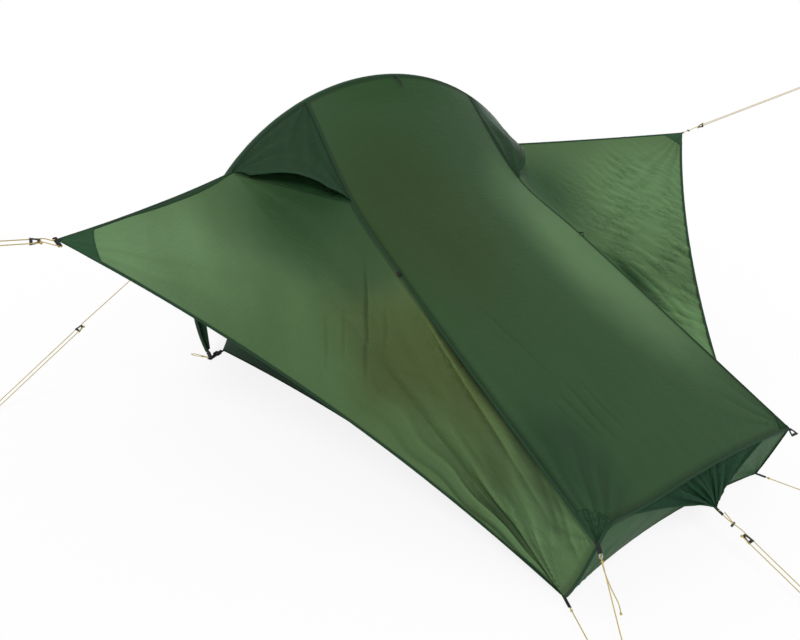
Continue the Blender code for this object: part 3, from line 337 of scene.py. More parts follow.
class Shader(Graph):
    """The node tree of one material, around its Principled shader."""

    def __init__(self, name: str) -> None:
        """Start a new material."""
        self.material = bpy.data.materials.new(name)
        self.material.use_nodes = True
        super().__init__(self.material.node_tree)
        self.surface = self.tree.nodes["Principled BSDF"]
        coordinates = self.add("ShaderNodeTexCoord")
        self.place = Value(self, coordinates.outputs["Object"])
        self.own_map = Value(self, coordinates.outputs["UV"])

    def attribute(self, name: str) -> Value:
        """A number stored on the piece's points."""
        return self.value("ShaderNodeAttribute", {"attribute_name": name}, None, "Fac")

    def grid(self, pitch: float, width: float) -> Value:
        """Lines of a grid on the cut's own map, each a share of the pitch wide."""
        lines = [(self.value("ShaderNodeSeparateXYZ", None, {"Vector": self.own_map}, axis) / pitch)
                 .folded(0.5).below(width) for axis in "XY"]
        return self.maths("MAXIMUM", *lines)

    def around(self, centre: Point, radii: Point) -> tuple[Value, Value]:
        """The offset from a centre, and the distance in shares of the radii."""
        offset = self.vector("SUBTRACT", self.place, centre)
        return offset, self.vector("LENGTH", self.vector("DIVIDE", offset, radii))

    def mixed(self, first: Value | Colour, second: Value | Colour, factor: Value | float) -> Value:
        """Mix two colours by the share of the second."""
        sides = [c if isinstance(c, Value) else (*c, 1.0) for c in (first, second)]
        return self.value("ShaderNodeMix", {"data_type": "RGBA"},
                          {"Factor": factor, "A": sides[0], "B": sides[1]})

    def bump(self, height: Value, distance: float, strength: float = 1.0,
             under: Value | None = None) -> Value:
        """A normal that follows a height in metres, over another normal if one is given."""
        inputs = {"Height": height, "Distance": distance, "Strength": strength}
        return self.value("ShaderNodeBump", None, inputs | ({"Normal": under} if under else {}), "Normal")

    def dress(self, **held: Any) -> bpy.types.Material:
        """Fill the shader's sockets.

        Args:
            held: A value or link for each socket, its name in lower case with underscores.

        Returns:
            The finished material.
        """
        for name, value in held.items():
            socket = next(s for s in self.surface.inputs if s.name.lower() == name.replace("_", " "))
            if isinstance(value, Value):
                self.tree.links.new(value.socket, socket)
            else:
                socket.default_value = (*value, 1.0) if socket.type == "RGBA" else value
        return self.material


# Finishes
@dataclass(frozen=True)
class PaintedLight:
    """A soft-edged region where light and shade are painted into a cloth's colour: glow where light comes
    through, shade under the hoods and in folds, and the inner tent's shade and tint seen through the cloth.
    """

    centre: Point
    radii: Point
    colour: Colour
    amount: float
    edge: float = 0.35

    def over(self, shader: Shader, under: Value | Colour) -> Value:
        """Mix this area's colour over the one below."""
        distance = shader.around(self.centre, self.radii)[1]
        wander = shader.noise(shader.place, 4.0) - 0.5
        mask = 1.0 - (distance + wander * 0.35).eased(self.edge, 1.0)
        return shader.mixed(under, self.colour, mask * self.amount)


@dataclass(frozen=True)
class Drawn:
    """Fine wrinkles of one direction in one region of a cloth, as bumps with painted light on their crests.
    """

    centre: Point
    radii: Point
    along: Point
    across: Point
    spacing: float
    amount: float = 1.0

    def height(self, shader: Shader) -> Value:
        """The wrinkles' height: thin crests at one, nothing outside the region."""
        offset, distance = shader.around(self.centre, self.radii)
        spread = [shader.vector("DOT_PRODUCT", offset, tuple(unit(axis) / size)) for axis, size in
                  ((self.across, self.spacing), (self.along, self.spacing * 7.0))]
        waves = shader.noise(shader.combined(*spread, 0.0), 1.0, 3.0, 0.55, 1.1)
        crests = 1.0 - shader.maths("ABSOLUTE", waves - 0.5).eased(0.0, 0.13)
        crests = crests * shader.noise(shader.place, 0.16 / self.spacing).eased(0.40, 0.62)
        return crests * (1.0 - distance.eased(0.35, 1.0)) * self.amount


@dataclass(frozen=True)
class Finish:
    """A material that is made once, with the record's slot that it stands for."""

    name: str
    slot: str
    colour: Colour

    def material(self) -> bpy.types.Material:
        """The finish's material, made at its first use."""
        return bpy.data.materials.get(self.name) or self.mixed_up(Shader(self.name))

    def mixed_up(self, shader: Shader) -> bpy.types.Material:
        """Fill in the new material."""
        return shader.dress(base_color=self.colour)

    def toned(self, factor: float, lift: float = 0.0) -> Colour:
        """The colour made paler or darker."""
        return tuple(c * factor + lift for c in self.colour)


@dataclass(frozen=True)
class Ripstop(Finish):
    """Thin coated cloth with a grid of thicker threads, with light and shade painted into its colour in soft
    areas, along its folds and on its wrinkles' crests.
    """

    roughness: float = 0.50
    shine: float = 0.08
    pitch: float = 0.0055
    crumple: float = 0.0012
    crinkle: float = 0.0010
    hem_level: float = 0.62
    fold_tint: float = 0.26
    areas: tuple[PaintedLight, ...] = ()
    drawn: tuple[Drawn, ...] = ()

    def mixed_up(self, shader: Shader) -> bpy.types.Material:
        """Make the cloth's material.

        Args:
            shader: The new material's tree.

        Returns:
            The material, with its thread grid on the cut's own map in metres.
        """
        colour = shader.mixed(self.colour, self.colour, 0.0)
        # Soft areas of painted light and shade over the base colour.
        for area in self.areas:
            colour = area.over(shader, colour)
        streaky = shader.noise(shader.place, 11.0, 4.0, 0.6, 0.4)
        level = 0.86 + shader.noise(shader.place, 1.7, 3.0) * 0.2 + streaky * 0.08
        threads = shader.grid(self.pitch, 0.07)
        level = level * (1.0 - shader.attribute("hem") * (1.0 - self.hem_level)) * (1.0 + threads * 0.10)
        # Painted shade in the fold valleys and painted light on the crests, by the fold heights stored on
        # the piece.
        level = level * (1.0 + shader.attribute("folds") * self.fold_tint)
        wrinkles = [each.height(shader) for each in self.drawn]
        # Painted light on the crests of the drawn wrinkles.
        for height in wrinkles:
            level = level * (1.0 + height * 0.15)
        relief = shader.bump(shader.noise(shader.place, 16.0, 5.0, 0.62, 0.9), self.crumple * 4.0, 0.5)
        drawn = shader.vector("MULTIPLY", shader.own_map, (9.0, 46.0, 1.0))
        sharp = shader.noise(drawn, 1.0, 3.0, 0.6, 0.8).folded(0.5)
        relief = shader.bump(sharp, self.crinkle * 6.0, 0.6, relief)
        for height in wrinkles:
            relief = shader.bump(height, 0.0030, 0.9, relief)
        weave = shader.noise(shader.own_map, 900.0, 1.0)
        relief = shader.bump(threads + weave * 0.5, 0.00025, 0.6, relief)
        return shader.dress(base_color=shader.scaled(colour, level), normal=relief,
                            roughness=self.roughness + (streaky - 0.5) * 0.16,
                            specular_ior_level=self.shine)


@dataclass(frozen=True)
class Webbing(Finish):
    """Narrow woven tape."""

    def mixed_up(self, shader: Shader) -> bpy.types.Material:
        """Fill in the tape's material with its ribs."""
        ribs = shader.value("ShaderNodeTexWave", {"bands_direction": "DIAGONAL"},
                            {"Vector": shader.place, "Scale": 420.0, "Distortion": 0.6}, "Fac")
        fuzz = shader.noise(shader.place, 700.0)
        dusty = shader.noise(shader.place, 30.0, 3.0)
        # The ribs' raised crests are painted paler, as painted light; the dusty patches are dust.
        colour = shader.mixed(self.colour, self.toned(2.2, 0.004), ribs * 0.35 + dusty * 0.3)
        return shader.dress(base_color=colour, roughness=0.74 + fuzz * 0.14,
                            normal=shader.bump(ribs + fuzz * 0.3, 0.0004), specular_ior_level=0.3)


@dataclass(frozen=True)
class Plastic(Finish):
    """Moulded plastic with a fine grain and rubbed places."""

    def mixed_up(self, shader: Shader) -> bpy.types.Material:
        """Fill in the plastic's material."""
        grain = shader.noise(shader.place, 900.0)
        rubbed = shader.noise(shader.place, 45.0, 4.0, 0.7).eased(0.55, 0.75)
        return shader.dress(base_color=shader.mixed(self.colour, self.toned(1.0, 0.012), rubbed),
                            roughness=0.34 + rubbed * 0.2 + grain * 0.08,
                            normal=shader.bump(grain, 0.0002, 0.5))


@dataclass(frozen=True)
class Alloy(Finish):
    """Anodised tube with fine drawing lines and scuffs."""

    def mixed_up(self, shader: Shader) -> bpy.types.Material:
        """Fill in the metal's material."""
        drawn = shader.noise(shader.vector("MULTIPLY", shader.place, (20.0, 900.0, 20.0)), 1.0)
        scuffed = shader.noise(shader.place, 60.0, 5.0, 0.7).eased(0.56, 0.7)
        colour = shader.mixed(self.colour, self.toned(0.62), scuffed * 0.6 + drawn * 0.2)
        return shader.dress(base_color=colour, metallic=1.0 - scuffed * 0.25,
                            roughness=0.26 + drawn * 0.14 + scuffed * 0.2,
                            normal=shader.bump(drawn, 0.00006))


@dataclass(frozen=True)
class Braid(Finish):
    """Braided cord, with a few darker marker threads."""

    marker: Colour = (0.30, 0.22, 0.06)

    def mixed_up(self, shader: Shader) -> bpy.types.Material:
        """Fill in the cord's material."""
        plaits = shader.value("ShaderNodeTexVoronoi", None,
                              {"Vector": shader.place, "Scale": 620.0, "Randomness": 0.45})
        flecks = shader.noise(shader.place, 260.0, 1.0).eased(0.62, 0.68)
        worn = shader.noise(shader.place, 24.0, 3.0)
        # The grooves between the plaits are painted darker, as painted shade; the worn patches are wear.
        colour = shader.mixed(self.colour, self.toned(0.66), plaits * 0.7 + worn * 0.25)
        colour = shader.mixed(colour, self.marker, flecks * 0.55)
        return shader.dress(base_color=colour, roughness=0.66 + plaits * 0.15,
                            normal=shader.bump(1.0 - plaits, 0.0006), specular_ior_level=0.3)


@dataclass(frozen=True)
class Net(Finish):
    """Fine insect net that lets some of what is behind it show."""

    mesh_size: float = 0.0016

    def mixed_up(self, shader: Shader) -> bpy.types.Material:
        """Fill in the net's material, with its holes on the cut's own map."""
        strands = shader.grid(self.mesh_size, 0.17)
        patchy = shader.noise(shader.place, 12.0)
        colour = shader.mixed(self.colour, self.toned(1.8), patchy)
        return shader.dress(base_color=colour, roughness=0.72 + patchy * 0.1,
                            alpha=0.90 + strands * 0.10, normal=shader.bump(strands, 0.0003),
                            specular_ior_level=0.05)


# The roof's base colour is kept darker than the awnings' as painted shade from the unlit inside of the tent
# behind it; the soft areas below paint more light and shade.
ROOF = Ripstop("roof_fabric", "roof_cloth", (0.0280, 0.0640, 0.0258), areas=(
    # Painted shade, warmer, over the left of the roof.
    PaintedLight((-0.24, -0.50, 0.66), (0.50, 0.75, 0.60), (0.0262, 0.0530, 0.0170), 0.95, edge=0.2),
    # Painted light in a band down the right of the roof.
    PaintedLight((0.36, -0.82, 0.54), (0.30, 0.84, 0.60), (0.082, 0.158, 0.066), 0.95, edge=0.22),
    # Painted shade along the crown beside the hoop.
    PaintedLight((0.0, 0.02, 1.05), (0.45, 0.22, 0.25), (0.0190, 0.0560, 0.0170), 0.8),
    # Painted shade at the lower left corner of the roof, by the corner patch.
    PaintedLight((-0.36, -1.42, 0.28), (0.16, 0.30, 0.20), (0.0170, 0.0440, 0.0185), 0.8),
))
# The awnings' and side panels' base colour is kept paler than the roof's as painted light coming through the
# cloth; the soft areas below paint more light and shade.
WING = Ripstop("wing_cloth", "awning_cloth", (0.066, 0.123, 0.050), crinkle=0.0012, areas=(
    # Painted glow at the left awning's tip, where light comes through the cloth.
    PaintedLight((-1.22, -0.42, 0.71), (0.62, 0.50, 0.50), (0.118, 0.218, 0.097), 1.0, edge=0.05),
    # The inner tent seen through the left side panel: painted shade with its brown tint.
    PaintedLight((-0.50, -0.98, 0.36), (0.34, 0.64, 0.45), (0.054, 0.080, 0.026), 1.0, edge=0.2),
    # Painted shade under the left hood.
    PaintedLight((-0.46, -0.30, 0.72), (0.50, 0.46, 0.45), (0.0215, 0.0560, 0.0215), 1.0, edge=0.15),
    # Painted light low at the left foot corner.
    PaintedLight((-0.46, -1.50, 0.08), (0.22, 0.26, 0.22), (0.074, 0.134, 0.056), 0.9),
    # Painted light over the right awning's outer part, where light comes through the cloth.
    PaintedLight((0.95, -0.60, 0.60), (0.50, 0.50, 0.50), (0.097, 0.186, 0.080), 0.9, edge=0.1),
    # Painted shade under the right hood.
    PaintedLight((0.56, -0.34, 0.66), (0.30, 0.42, 0.34), (0.028, 0.068, 0.030), 0.95, edge=0.1),
    # Painted shade in the fold along the right roof seam.
    PaintedLight((0.620, -0.90, 0.37), (0.085, 0.42, 0.17), (0.026, 0.068, 0.025), 0.8, edge=0.3),
    # More painted shade below the left hood.
    PaintedLight((-0.47, -0.56, 0.58), (0.20, 0.26, 0.22), (0.031, 0.064, 0.026), 0.7),
    # Painted light low on the left side panel, where the inner tent's painted shade fades.
    PaintedLight((-0.62, -1.14, 0.22), (0.22, 0.26, 0.22), (0.072, 0.130, 0.052), 0.7),
    # Painted light over the lower part of the right awning.
    PaintedLight((0.62, -1.15, 0.25), (0.26, 0.36, 0.26), (0.103, 0.196, 0.082), 0.9),
    # Painted shade in the wedge of folds by the left roof seam's foot.
    PaintedLight((-0.44, -1.36, 0.27), (0.10, 0.26, 0.13), (0.048, 0.084, 0.032), 0.75, edge=0.2),
), drawn=(
    Drawn((0.80, -0.72, 0.53), (0.34, 0.42, 0.30), (0.28, -0.93, -0.24), (0.88, 0.14, 0.46), 0.013),
    Drawn((0.98, -0.55, 0.66), (0.26, 0.30, 0.24), (0.30, -0.90, -0.24), (0.88, 0.14, 0.46), 0.010, 0.7),
    Drawn((0.72, -1.04, 0.36), (0.22, 0.32, 0.22), (-0.10, -0.95, -0.30), (0.88, 0.00, 0.46), 0.017),
    Drawn((-0.47, -1.42, 0.10), (0.16, 0.34, 0.20), (-0.25, 0.87, 0.42), (-0.50, -0.42, 0.70), 0.020, 0.6),
    Drawn((-0.45, -1.42, 0.23), (0.12, 0.26, 0.14), (0.00, 0.93, 0.33), (0.00, -0.33, 0.93), 0.018, 0.35),
    Drawn((-0.42, -1.02, 0.44), (0.08, 0.40, 0.24), (-0.12, -0.80, -0.55), (-0.35, -0.45, 0.72), 0.011, 0.9),
))
SHADED = Ripstop("dark_fabric", "dark_cloth", (0.0140, 0.0400, 0.0190), crumple=0.0008, hem_level=0.75)
# The same dark cloth made paler as painted light where it faces the sky, for the tip patches and the hoop's
# leg flaps.
PATCH = Ripstop("patch_cloth", "dark_cloth", (0.0215, 0.0660, 0.0280), crumple=0.0008, hem_level=0.75)
# The same dark cloth made darker as painted shade under the roof's foot edge, for the foot vent.
GUSSET = Ripstop("gusset_cloth", "dark_cloth", (0.0074, 0.0330, 0.0140), crumple=0.0008, hem_level=0.75)
HOOD = Ripstop("hood_cloth", "dark_cloth", (0.0118, 0.0350, 0.0140), roughness=0.46, shine=0.09,
               crumple=0.0012, areas=(
                   # Painted highlight on the outer end of the right hood.
                   PaintedLight((0.53, -0.06, 0.90), (0.17, 0.15, 0.19), (0.112, 0.158, 0.128), 0.85, edge=0.1),))
END = Ripstop("end_cloth", "side_cloth", (0.036, 0.090, 0.037), shine=0.05)
INNER = Ripstop("inner_fabric", "inner_cloth", (0.170, 0.160, 0.085), roughness=0.66, shine=0.2)
TUB = Ripstop("tub_fabric", "tub_cloth", (0.024, 0.048, 0.030), roughness=0.42, crumple=0.0016)
# A dark net, coloured as deep as the shade under the hood above it: partly its own colour, partly painted
# shade.
NET = Net("vent_net", "net", (0.008, 0.028, 0.009))
TAPE = Webbing("black_webbing", "webbing", (0.010, 0.010, 0.010))
ZIP_TAPE = Webbing("zip_tape", "zip", (0.014, 0.018, 0.015))
BLACK = Plastic("moulded_black", "black_plastic", (0.010, 0.010, 0.011))
COIL = Plastic("zip_coil", "zip", (0.020, 0.022, 0.021))
METAL = Alloy("drawn_alloy", "alloy", (0.46, 0.47, 0.48))
CORD = Braid("braided_cord", "guy_cord", (0.60, 0.46, 0.15))
ELASTIC = Braid("braided_elastic", "elastic", (0.05, 0.05, 0.05), marker=(0.2, 0.2, 0.2))
THREAD = Webbing("thread", "dark_cloth", (0.030, 0.052, 0.034))


def settled(piece: bpy.types.Object, body: str, finish: Finish, *nodes: str) -> bpy.types.Object:
    """Set a finished piece on its body.

    Args:
        piece: The piece, with its place in its mesh.
        body: The body that it moves with.
        finish: The finish, which names the record's slot; not used.
        nodes: The solids that the piece stands for.

    Returns:
        The piece.
    """
    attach(piece, body)
    if nodes:
        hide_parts(*nodes)
    LOG.info("%s rides on %s", piece.name, body)
    return piece


def dressed(node: str, finish: Finish) -> None:
    """Give a solid that is kept its procedural material."""
    materials = bpy.data.objects[node].data.materials
    if not materials:
        materials.append(finish.material())
    for number in range(len(materials)):
        materials[number] = finish.material()
    LOG.info("%s keeps its solid", node)


def linked(name: str, data: bpy.types.ID) -> bpy.types.Object:
    """A new object in the scene for a mesh or curve."""
    made = bpy.data.objects.new(name, data)
    bpy.context.scene.collection.objects.link(made)
    return made


# Folds
@dataclass(frozen=True)
class Crease:
    """One long fold that runs from one place to another."""

    start: Point
    end: Point
    width: float
    depth: float
    plane_through: Point | None = None

    def heights(self, grid: np.ndarray, normal: np.ndarray) -> np.ndarray:
        """How far the fold lifts each point of a grid whose mean normal is given."""
        axis = np.array(self.end) - self.start
        if self.plane_through is not None:
            normal = unit((np.array(self.start) + self.end) / 2 - self.plane_through)
        share = np.clip(((grid - self.start) @ axis) / (axis @ axis), 0.0, 1.0)
        side = (grid - self.start - share[..., None] * axis) @ unit(np.cross(axis, normal))
        side = side + 0.25 * self.width * np.sin(share * 9.0 + self.start[0] * 40)
        bell = np.exp(-(side / self.width)**2) - 0.5 * np.exp(-((side - self.width * 1.3) / self.width)**2)
        return self.depth * bell * np.sin(math.pi * share)**0.8


@dataclass(frozen=True)
class Fan:
    """Folds that radiate from a place where the cloth is pulled."""

    start: Point
    end: Point
    spread: float
    count: float
    depth: float
    reach: float
    near: float = 0.05
    phase: float = 0.0

    def heights(self, grid: np.ndarray, normal: np.ndarray) -> np.ndarray:
        """How far the folds lift each point of a grid whose mean normal is given."""
        ahead = np.array(self.end) - self.start
        ahead = unit(ahead - normal * (ahead @ normal))
        off = grid - self.start
        distance = reach_of(off)
        angle = np.arctan2(off @ np.cross(normal, ahead), off @ ahead)
        angle = angle + 0.02 * np.sin(distance * 31.0 + self.phase)
        window = np.exp(-(angle / self.spread)**4)
        falloff = eased(distance / self.near) * np.exp(-(distance / self.reach)**2)
        wave = np.sin(math.pi * self.count * angle / self.spread + self.phase)
        wave = wave + 0.4 * np.sin(2.3 * math.pi * self.count * angle / self.spread + 2.0 * self.phase)
        return self.depth * wave * window * falloff


@dataclass(frozen=True)
class Ripples:
    """Small uneven wrinkles with one main direction, in one part of a cloth."""

    start: Point
    radius: float
    along: Point
    wavelength: float
    depth: float
    seed: int

    def heights(self, grid: np.ndarray, normal: np.ndarray) -> np.ndarray:
        """How far the wrinkles lift each point of a grid whose mean normal is given."""
        run = unit(self.along)
        off = grid - self.start
        s, t = off @ unit(np.cross(normal, run)), off @ run
        chance = np.random.default_rng(self.seed)
        total = np.zeros(s.shape)
        for _ in range(6):
            length = self.wavelength * chance.uniform(0.7, 1.8)
            shift, gate, turn = chance.uniform(0.0, 2 * math.pi, 3)
            sway = 0.35 * length * np.sin(t / length * chance.uniform(0.5, 1.1) + shift)
            kept = eased(0.5 + 0.9 * np.sin(t / length * chance.uniform(0.5, 0.9) + gate)
                         * np.cos(s / length * chance.uniform(0.3, 0.6) + turn))
            total += (np.cos(2 * math.pi * (s + sway) / length + turn)**3) * kept
        return self.depth * total * np.exp(-(reach_of(off) / self.radius)**4) / 2.5


Fold = Crease | Fan | Ripples


def on_side(side: Side, *folds: Fold) -> list[Fold]:
    """Folds given for the right side, moved to one side."""
    return [replace(fold, **{each.name: side.place(getattr(fold, each.name)) for each in fields(fold)
                             if each.name in ("start", "end", "along")}) for fold in folds]


class Cut:
    """A cut of cloth as a fine grid of points on its outer side."""

    def __init__(self, name: str, grid: np.ndarray, inside: Point = INSIDE_TENT,
                 parted: bool = True) -> None:
        """Find the cut's outward normals, flat size and distance to its rim.

        Args:
            name: The piece's name.
            grid: Its points, rows by columns by three.
            inside: A place that the cut's outer side looks away from.
            parted: Whether the edges are free, or else its first and last column run together.
        """
        self.name, self.grid, self.flipped = name, np.array(grid, dtype=float), False
        rows, columns = self.grid.shape[:2]
        self.mean = unit(self.facing().sum(axis=(0, 1)))
        if self.mean @ (self.grid[rows // 2, columns // 2] - np.array(inside)) < 0:
            self.flipped, self.mean = True, -self.mean
        self.normals = self.outward()
        self.edges = [reach_of(self.grid - edge) for edge in
                      (self.grid[:1], self.grid[-1:], self.grid[:, :1], self.grid[:, -1:])]
        self.rim = np.min(self.edges if parted else self.edges[:2], axis=0)
        self.lean, self.folds = np.zeros(self.grid.shape), np.zeros((rows, columns))
        self.flat = self.flat_size()

    def facing(self) -> np.ndarray:
        """The direction that each point's cloth looks in, as long as its share of the area."""
        down, over = np.gradient(self.grid, axis=0), np.gradient(self.grid, axis=1)
        return np.cross(over, down) * (-1.0 if self.flipped else 1.0)

    def outward(self) -> np.ndarray:
        """The outward normal at each point."""
        normals = self.facing()
        normals[reach_of(normals) < 1e-12] = self.mean
        return unit(normals)

    def flat_size(self) -> tuple[float, float, float]:
        """Measure the cloth before it is folded.

        Returns:
            The width and length that the cut fits in, and its area.
        """
        a, b = self.grid[1:, 1:] - self.grid[:-1, :-1], self.grid[:-1, 1:] - self.grid[1:, :-1]
        area = float(reach_of(np.cross(a, b)).sum() / 2)
        points = self.grid.reshape(-1, 3) - self.grid.reshape(-1, 3).mean(axis=0)
        spans = np.linalg.svd(points, full_matrices=False)[2][:2]
        width, length = sorted(float(np.ptp(points @ span)) for span in spans)
        stretch = max(1.0, math.sqrt(area * 1.004 / (width * length)))
        return width * stretch, length * stretch, area

    def fold(self, *folds: Fold, fade: float = 0.03) -> "Cut":
        """Press folds into the cloth.

        Args:
            folds: The folds.
            fade: The distance from the rim over which they fade out.

        Returns:
            This cut.
        """
        self.folds = sum(each.heights(self.grid, self.mean) for each in folds)
        self.grid = self.grid + self.normals * (self.folds * eased(self.rim / fade))[..., None]
        self.normals = self.outward()
        return self

    def lean_toward(self, neighbour: np.ndarray, edge: int, reach: float) -> None:
        """Let the shading run on smoothly into a neighbouring cloth along one edge.

        Args:
            neighbour: The other cloth's mean outward direction.
            edge: The edge's number: first row, last row, first column, last column.
            reach: How far from the edge the shading leans.
        """
        share = 1.0 - eased(self.edges[edge] / reach)
        self.lean = (unit(self.mean + neighbour) - self.mean) * share[..., None]

    def resting(self, name: str, points: np.ndarray, lift: float) -> "Cut":
        """A second cloth that lies on this one.

        Args:
            name: The new piece's name.
            points: A grid of points near this cut.
            lift: How far the new cloth stands off.

        Returns:
            The new cut.
        """
        flat, normals, leans = (a.reshape(-1, 3) for a in (self.grid, self.normals, self.lean))
        spots = points.reshape(-1, 3)
        laid, lean = np.empty_like(spots), np.empty_like(spots)
        for first in range(0, len(spots), 64):
            part = spots[first:first + 64]
            nearest = ((part[:, None] - flat[None])**2).sum(axis=-1).argmin(axis=1)
            out = normals[nearest]
            height = ((part - flat[nearest]) * out).sum(axis=-1, keepdims=True)
            laid[first:first + 64] = part + out * (lift - height)
            lean[first:first + 64] = leans[nearest]
        grid = laid.reshape(points.shape)
        made = Cut(name, grid, grid[grid.shape[0] // 2, grid.shape[1] // 2] - self.mean)
        made.lean = lean.reshape(points.shape)
        return made

    def sewn(self, finish: Finish, thickness: float = 0.0009, hem: float = 0.013,
             hemmed: Sequence[int] = ALL_EDGES) -> bpy.types.Object:
        """Make the cloth a closed mesh.

        Args:
            finish: The cloth's finish.
            thickness: How thick it is, inwards.
            hem: How wide its doubled rim is.
            hemmed: The numbers of the edges that have such a rim.

        Returns:
            The piece, with a map in metres and the rim's mask.
        """
        flat = self.grid.reshape(-1, 3)
        _, first, number = np.unique(np.round(flat * 2e5).astype(np.int64), axis=0,
                                     return_index=True, return_inverse=True)
        number = number.reshape(self.grid.shape[:2])
        quads = np.stack([number[:-1, :-1], number[:-1, 1:], number[1:, 1:], number[1:, :-1]], axis=-1)
        quads = quads.reshape(-1, 4)[:, ::-1 if self.flipped else 1]
        outer = [face for face in (tuple(dict.fromkeys(q)) for q in quads.tolist()) if len(face) > 2]
        count = len(first)
        sides = {(a, b) for face in outer for a, b in zip(face, face[1:] + face[:1])}
        walls = [(b, a, a + count, b + count) for a, b in sides if (b, a) not in sides]
        inner = [tuple(i + count for i in reversed(face)) for face in outer]
        top, out = flat[first], self.normals.reshape(-1, 3)[first]
        mesh = bpy.data.meshes.new(self.name)
        mesh.from_pydata(np.vstack([top, top - out * thickness]).tolist(), [], outer + walls + inner)
        mesh.update()
        across = unit(np.cross(UPWARD if abs(self.mean[2]) < 0.9 else HEAD_WARD, self.mean))
        along = np.cross(self.mean, across)
        corners = np.empty(len(mesh.loops), dtype=np.int64)
        mesh.loops.foreach_get("vertex_index", corners)
        placed = top[corners % count]
        mesh.uv_layers.new(name="cloth").data.foreach_set(
            "uv", np.stack([placed @ across, placed @ along], axis=-1).ravel())
        near = np.min([self.edges[edge] for edge in hemmed], axis=0).reshape(-1)[first]
        rim = 1.0 - eased((near - hem * 0.7) / (hem * 0.6))
        # The fold heights that the cloth's material reads to paint shade in the valleys and light on the
        # crests.
        height = np.clip(self.folds.reshape(-1)[first] / 0.004, -1.5, 1.5)
        for name, values in (("hem", (rim, rim)), ("folds", (height, -height))):
            mesh.attributes.new(name, "FLOAT", "POINT").data.foreach_set(
                "value", np.concatenate(values).astype(np.float32))
        mesh.materials.append(finish.material())
        mesh.shade_smooth()
        shading = unit(out + self.lean.reshape(-1, 3)[first])
        mesh.normals_split_custom_set_from_vertices(np.vstack([shading, -shading]).tolist())
        return linked(self.name, mesh)

    def put_up(self, body: str, finish: Finish, *nodes: str, rests_on: str = "",
               held: str = "stretched", **sewing: Any) -> None:
        """Sew the cloth and set it on its body.

        Args:
            body: The body that it moves with.
            finish: Its finish.
            nodes: The solids that it stands for.
            rests_on: The cloth that it is sewn to or lies on, for one of the tent's panels; not used.
            held: How such a panel is held; not used.
            sewing: What sewn takes.
        """
        piece = settled(self.sewn(finish, **sewing), body, finish, *nodes)


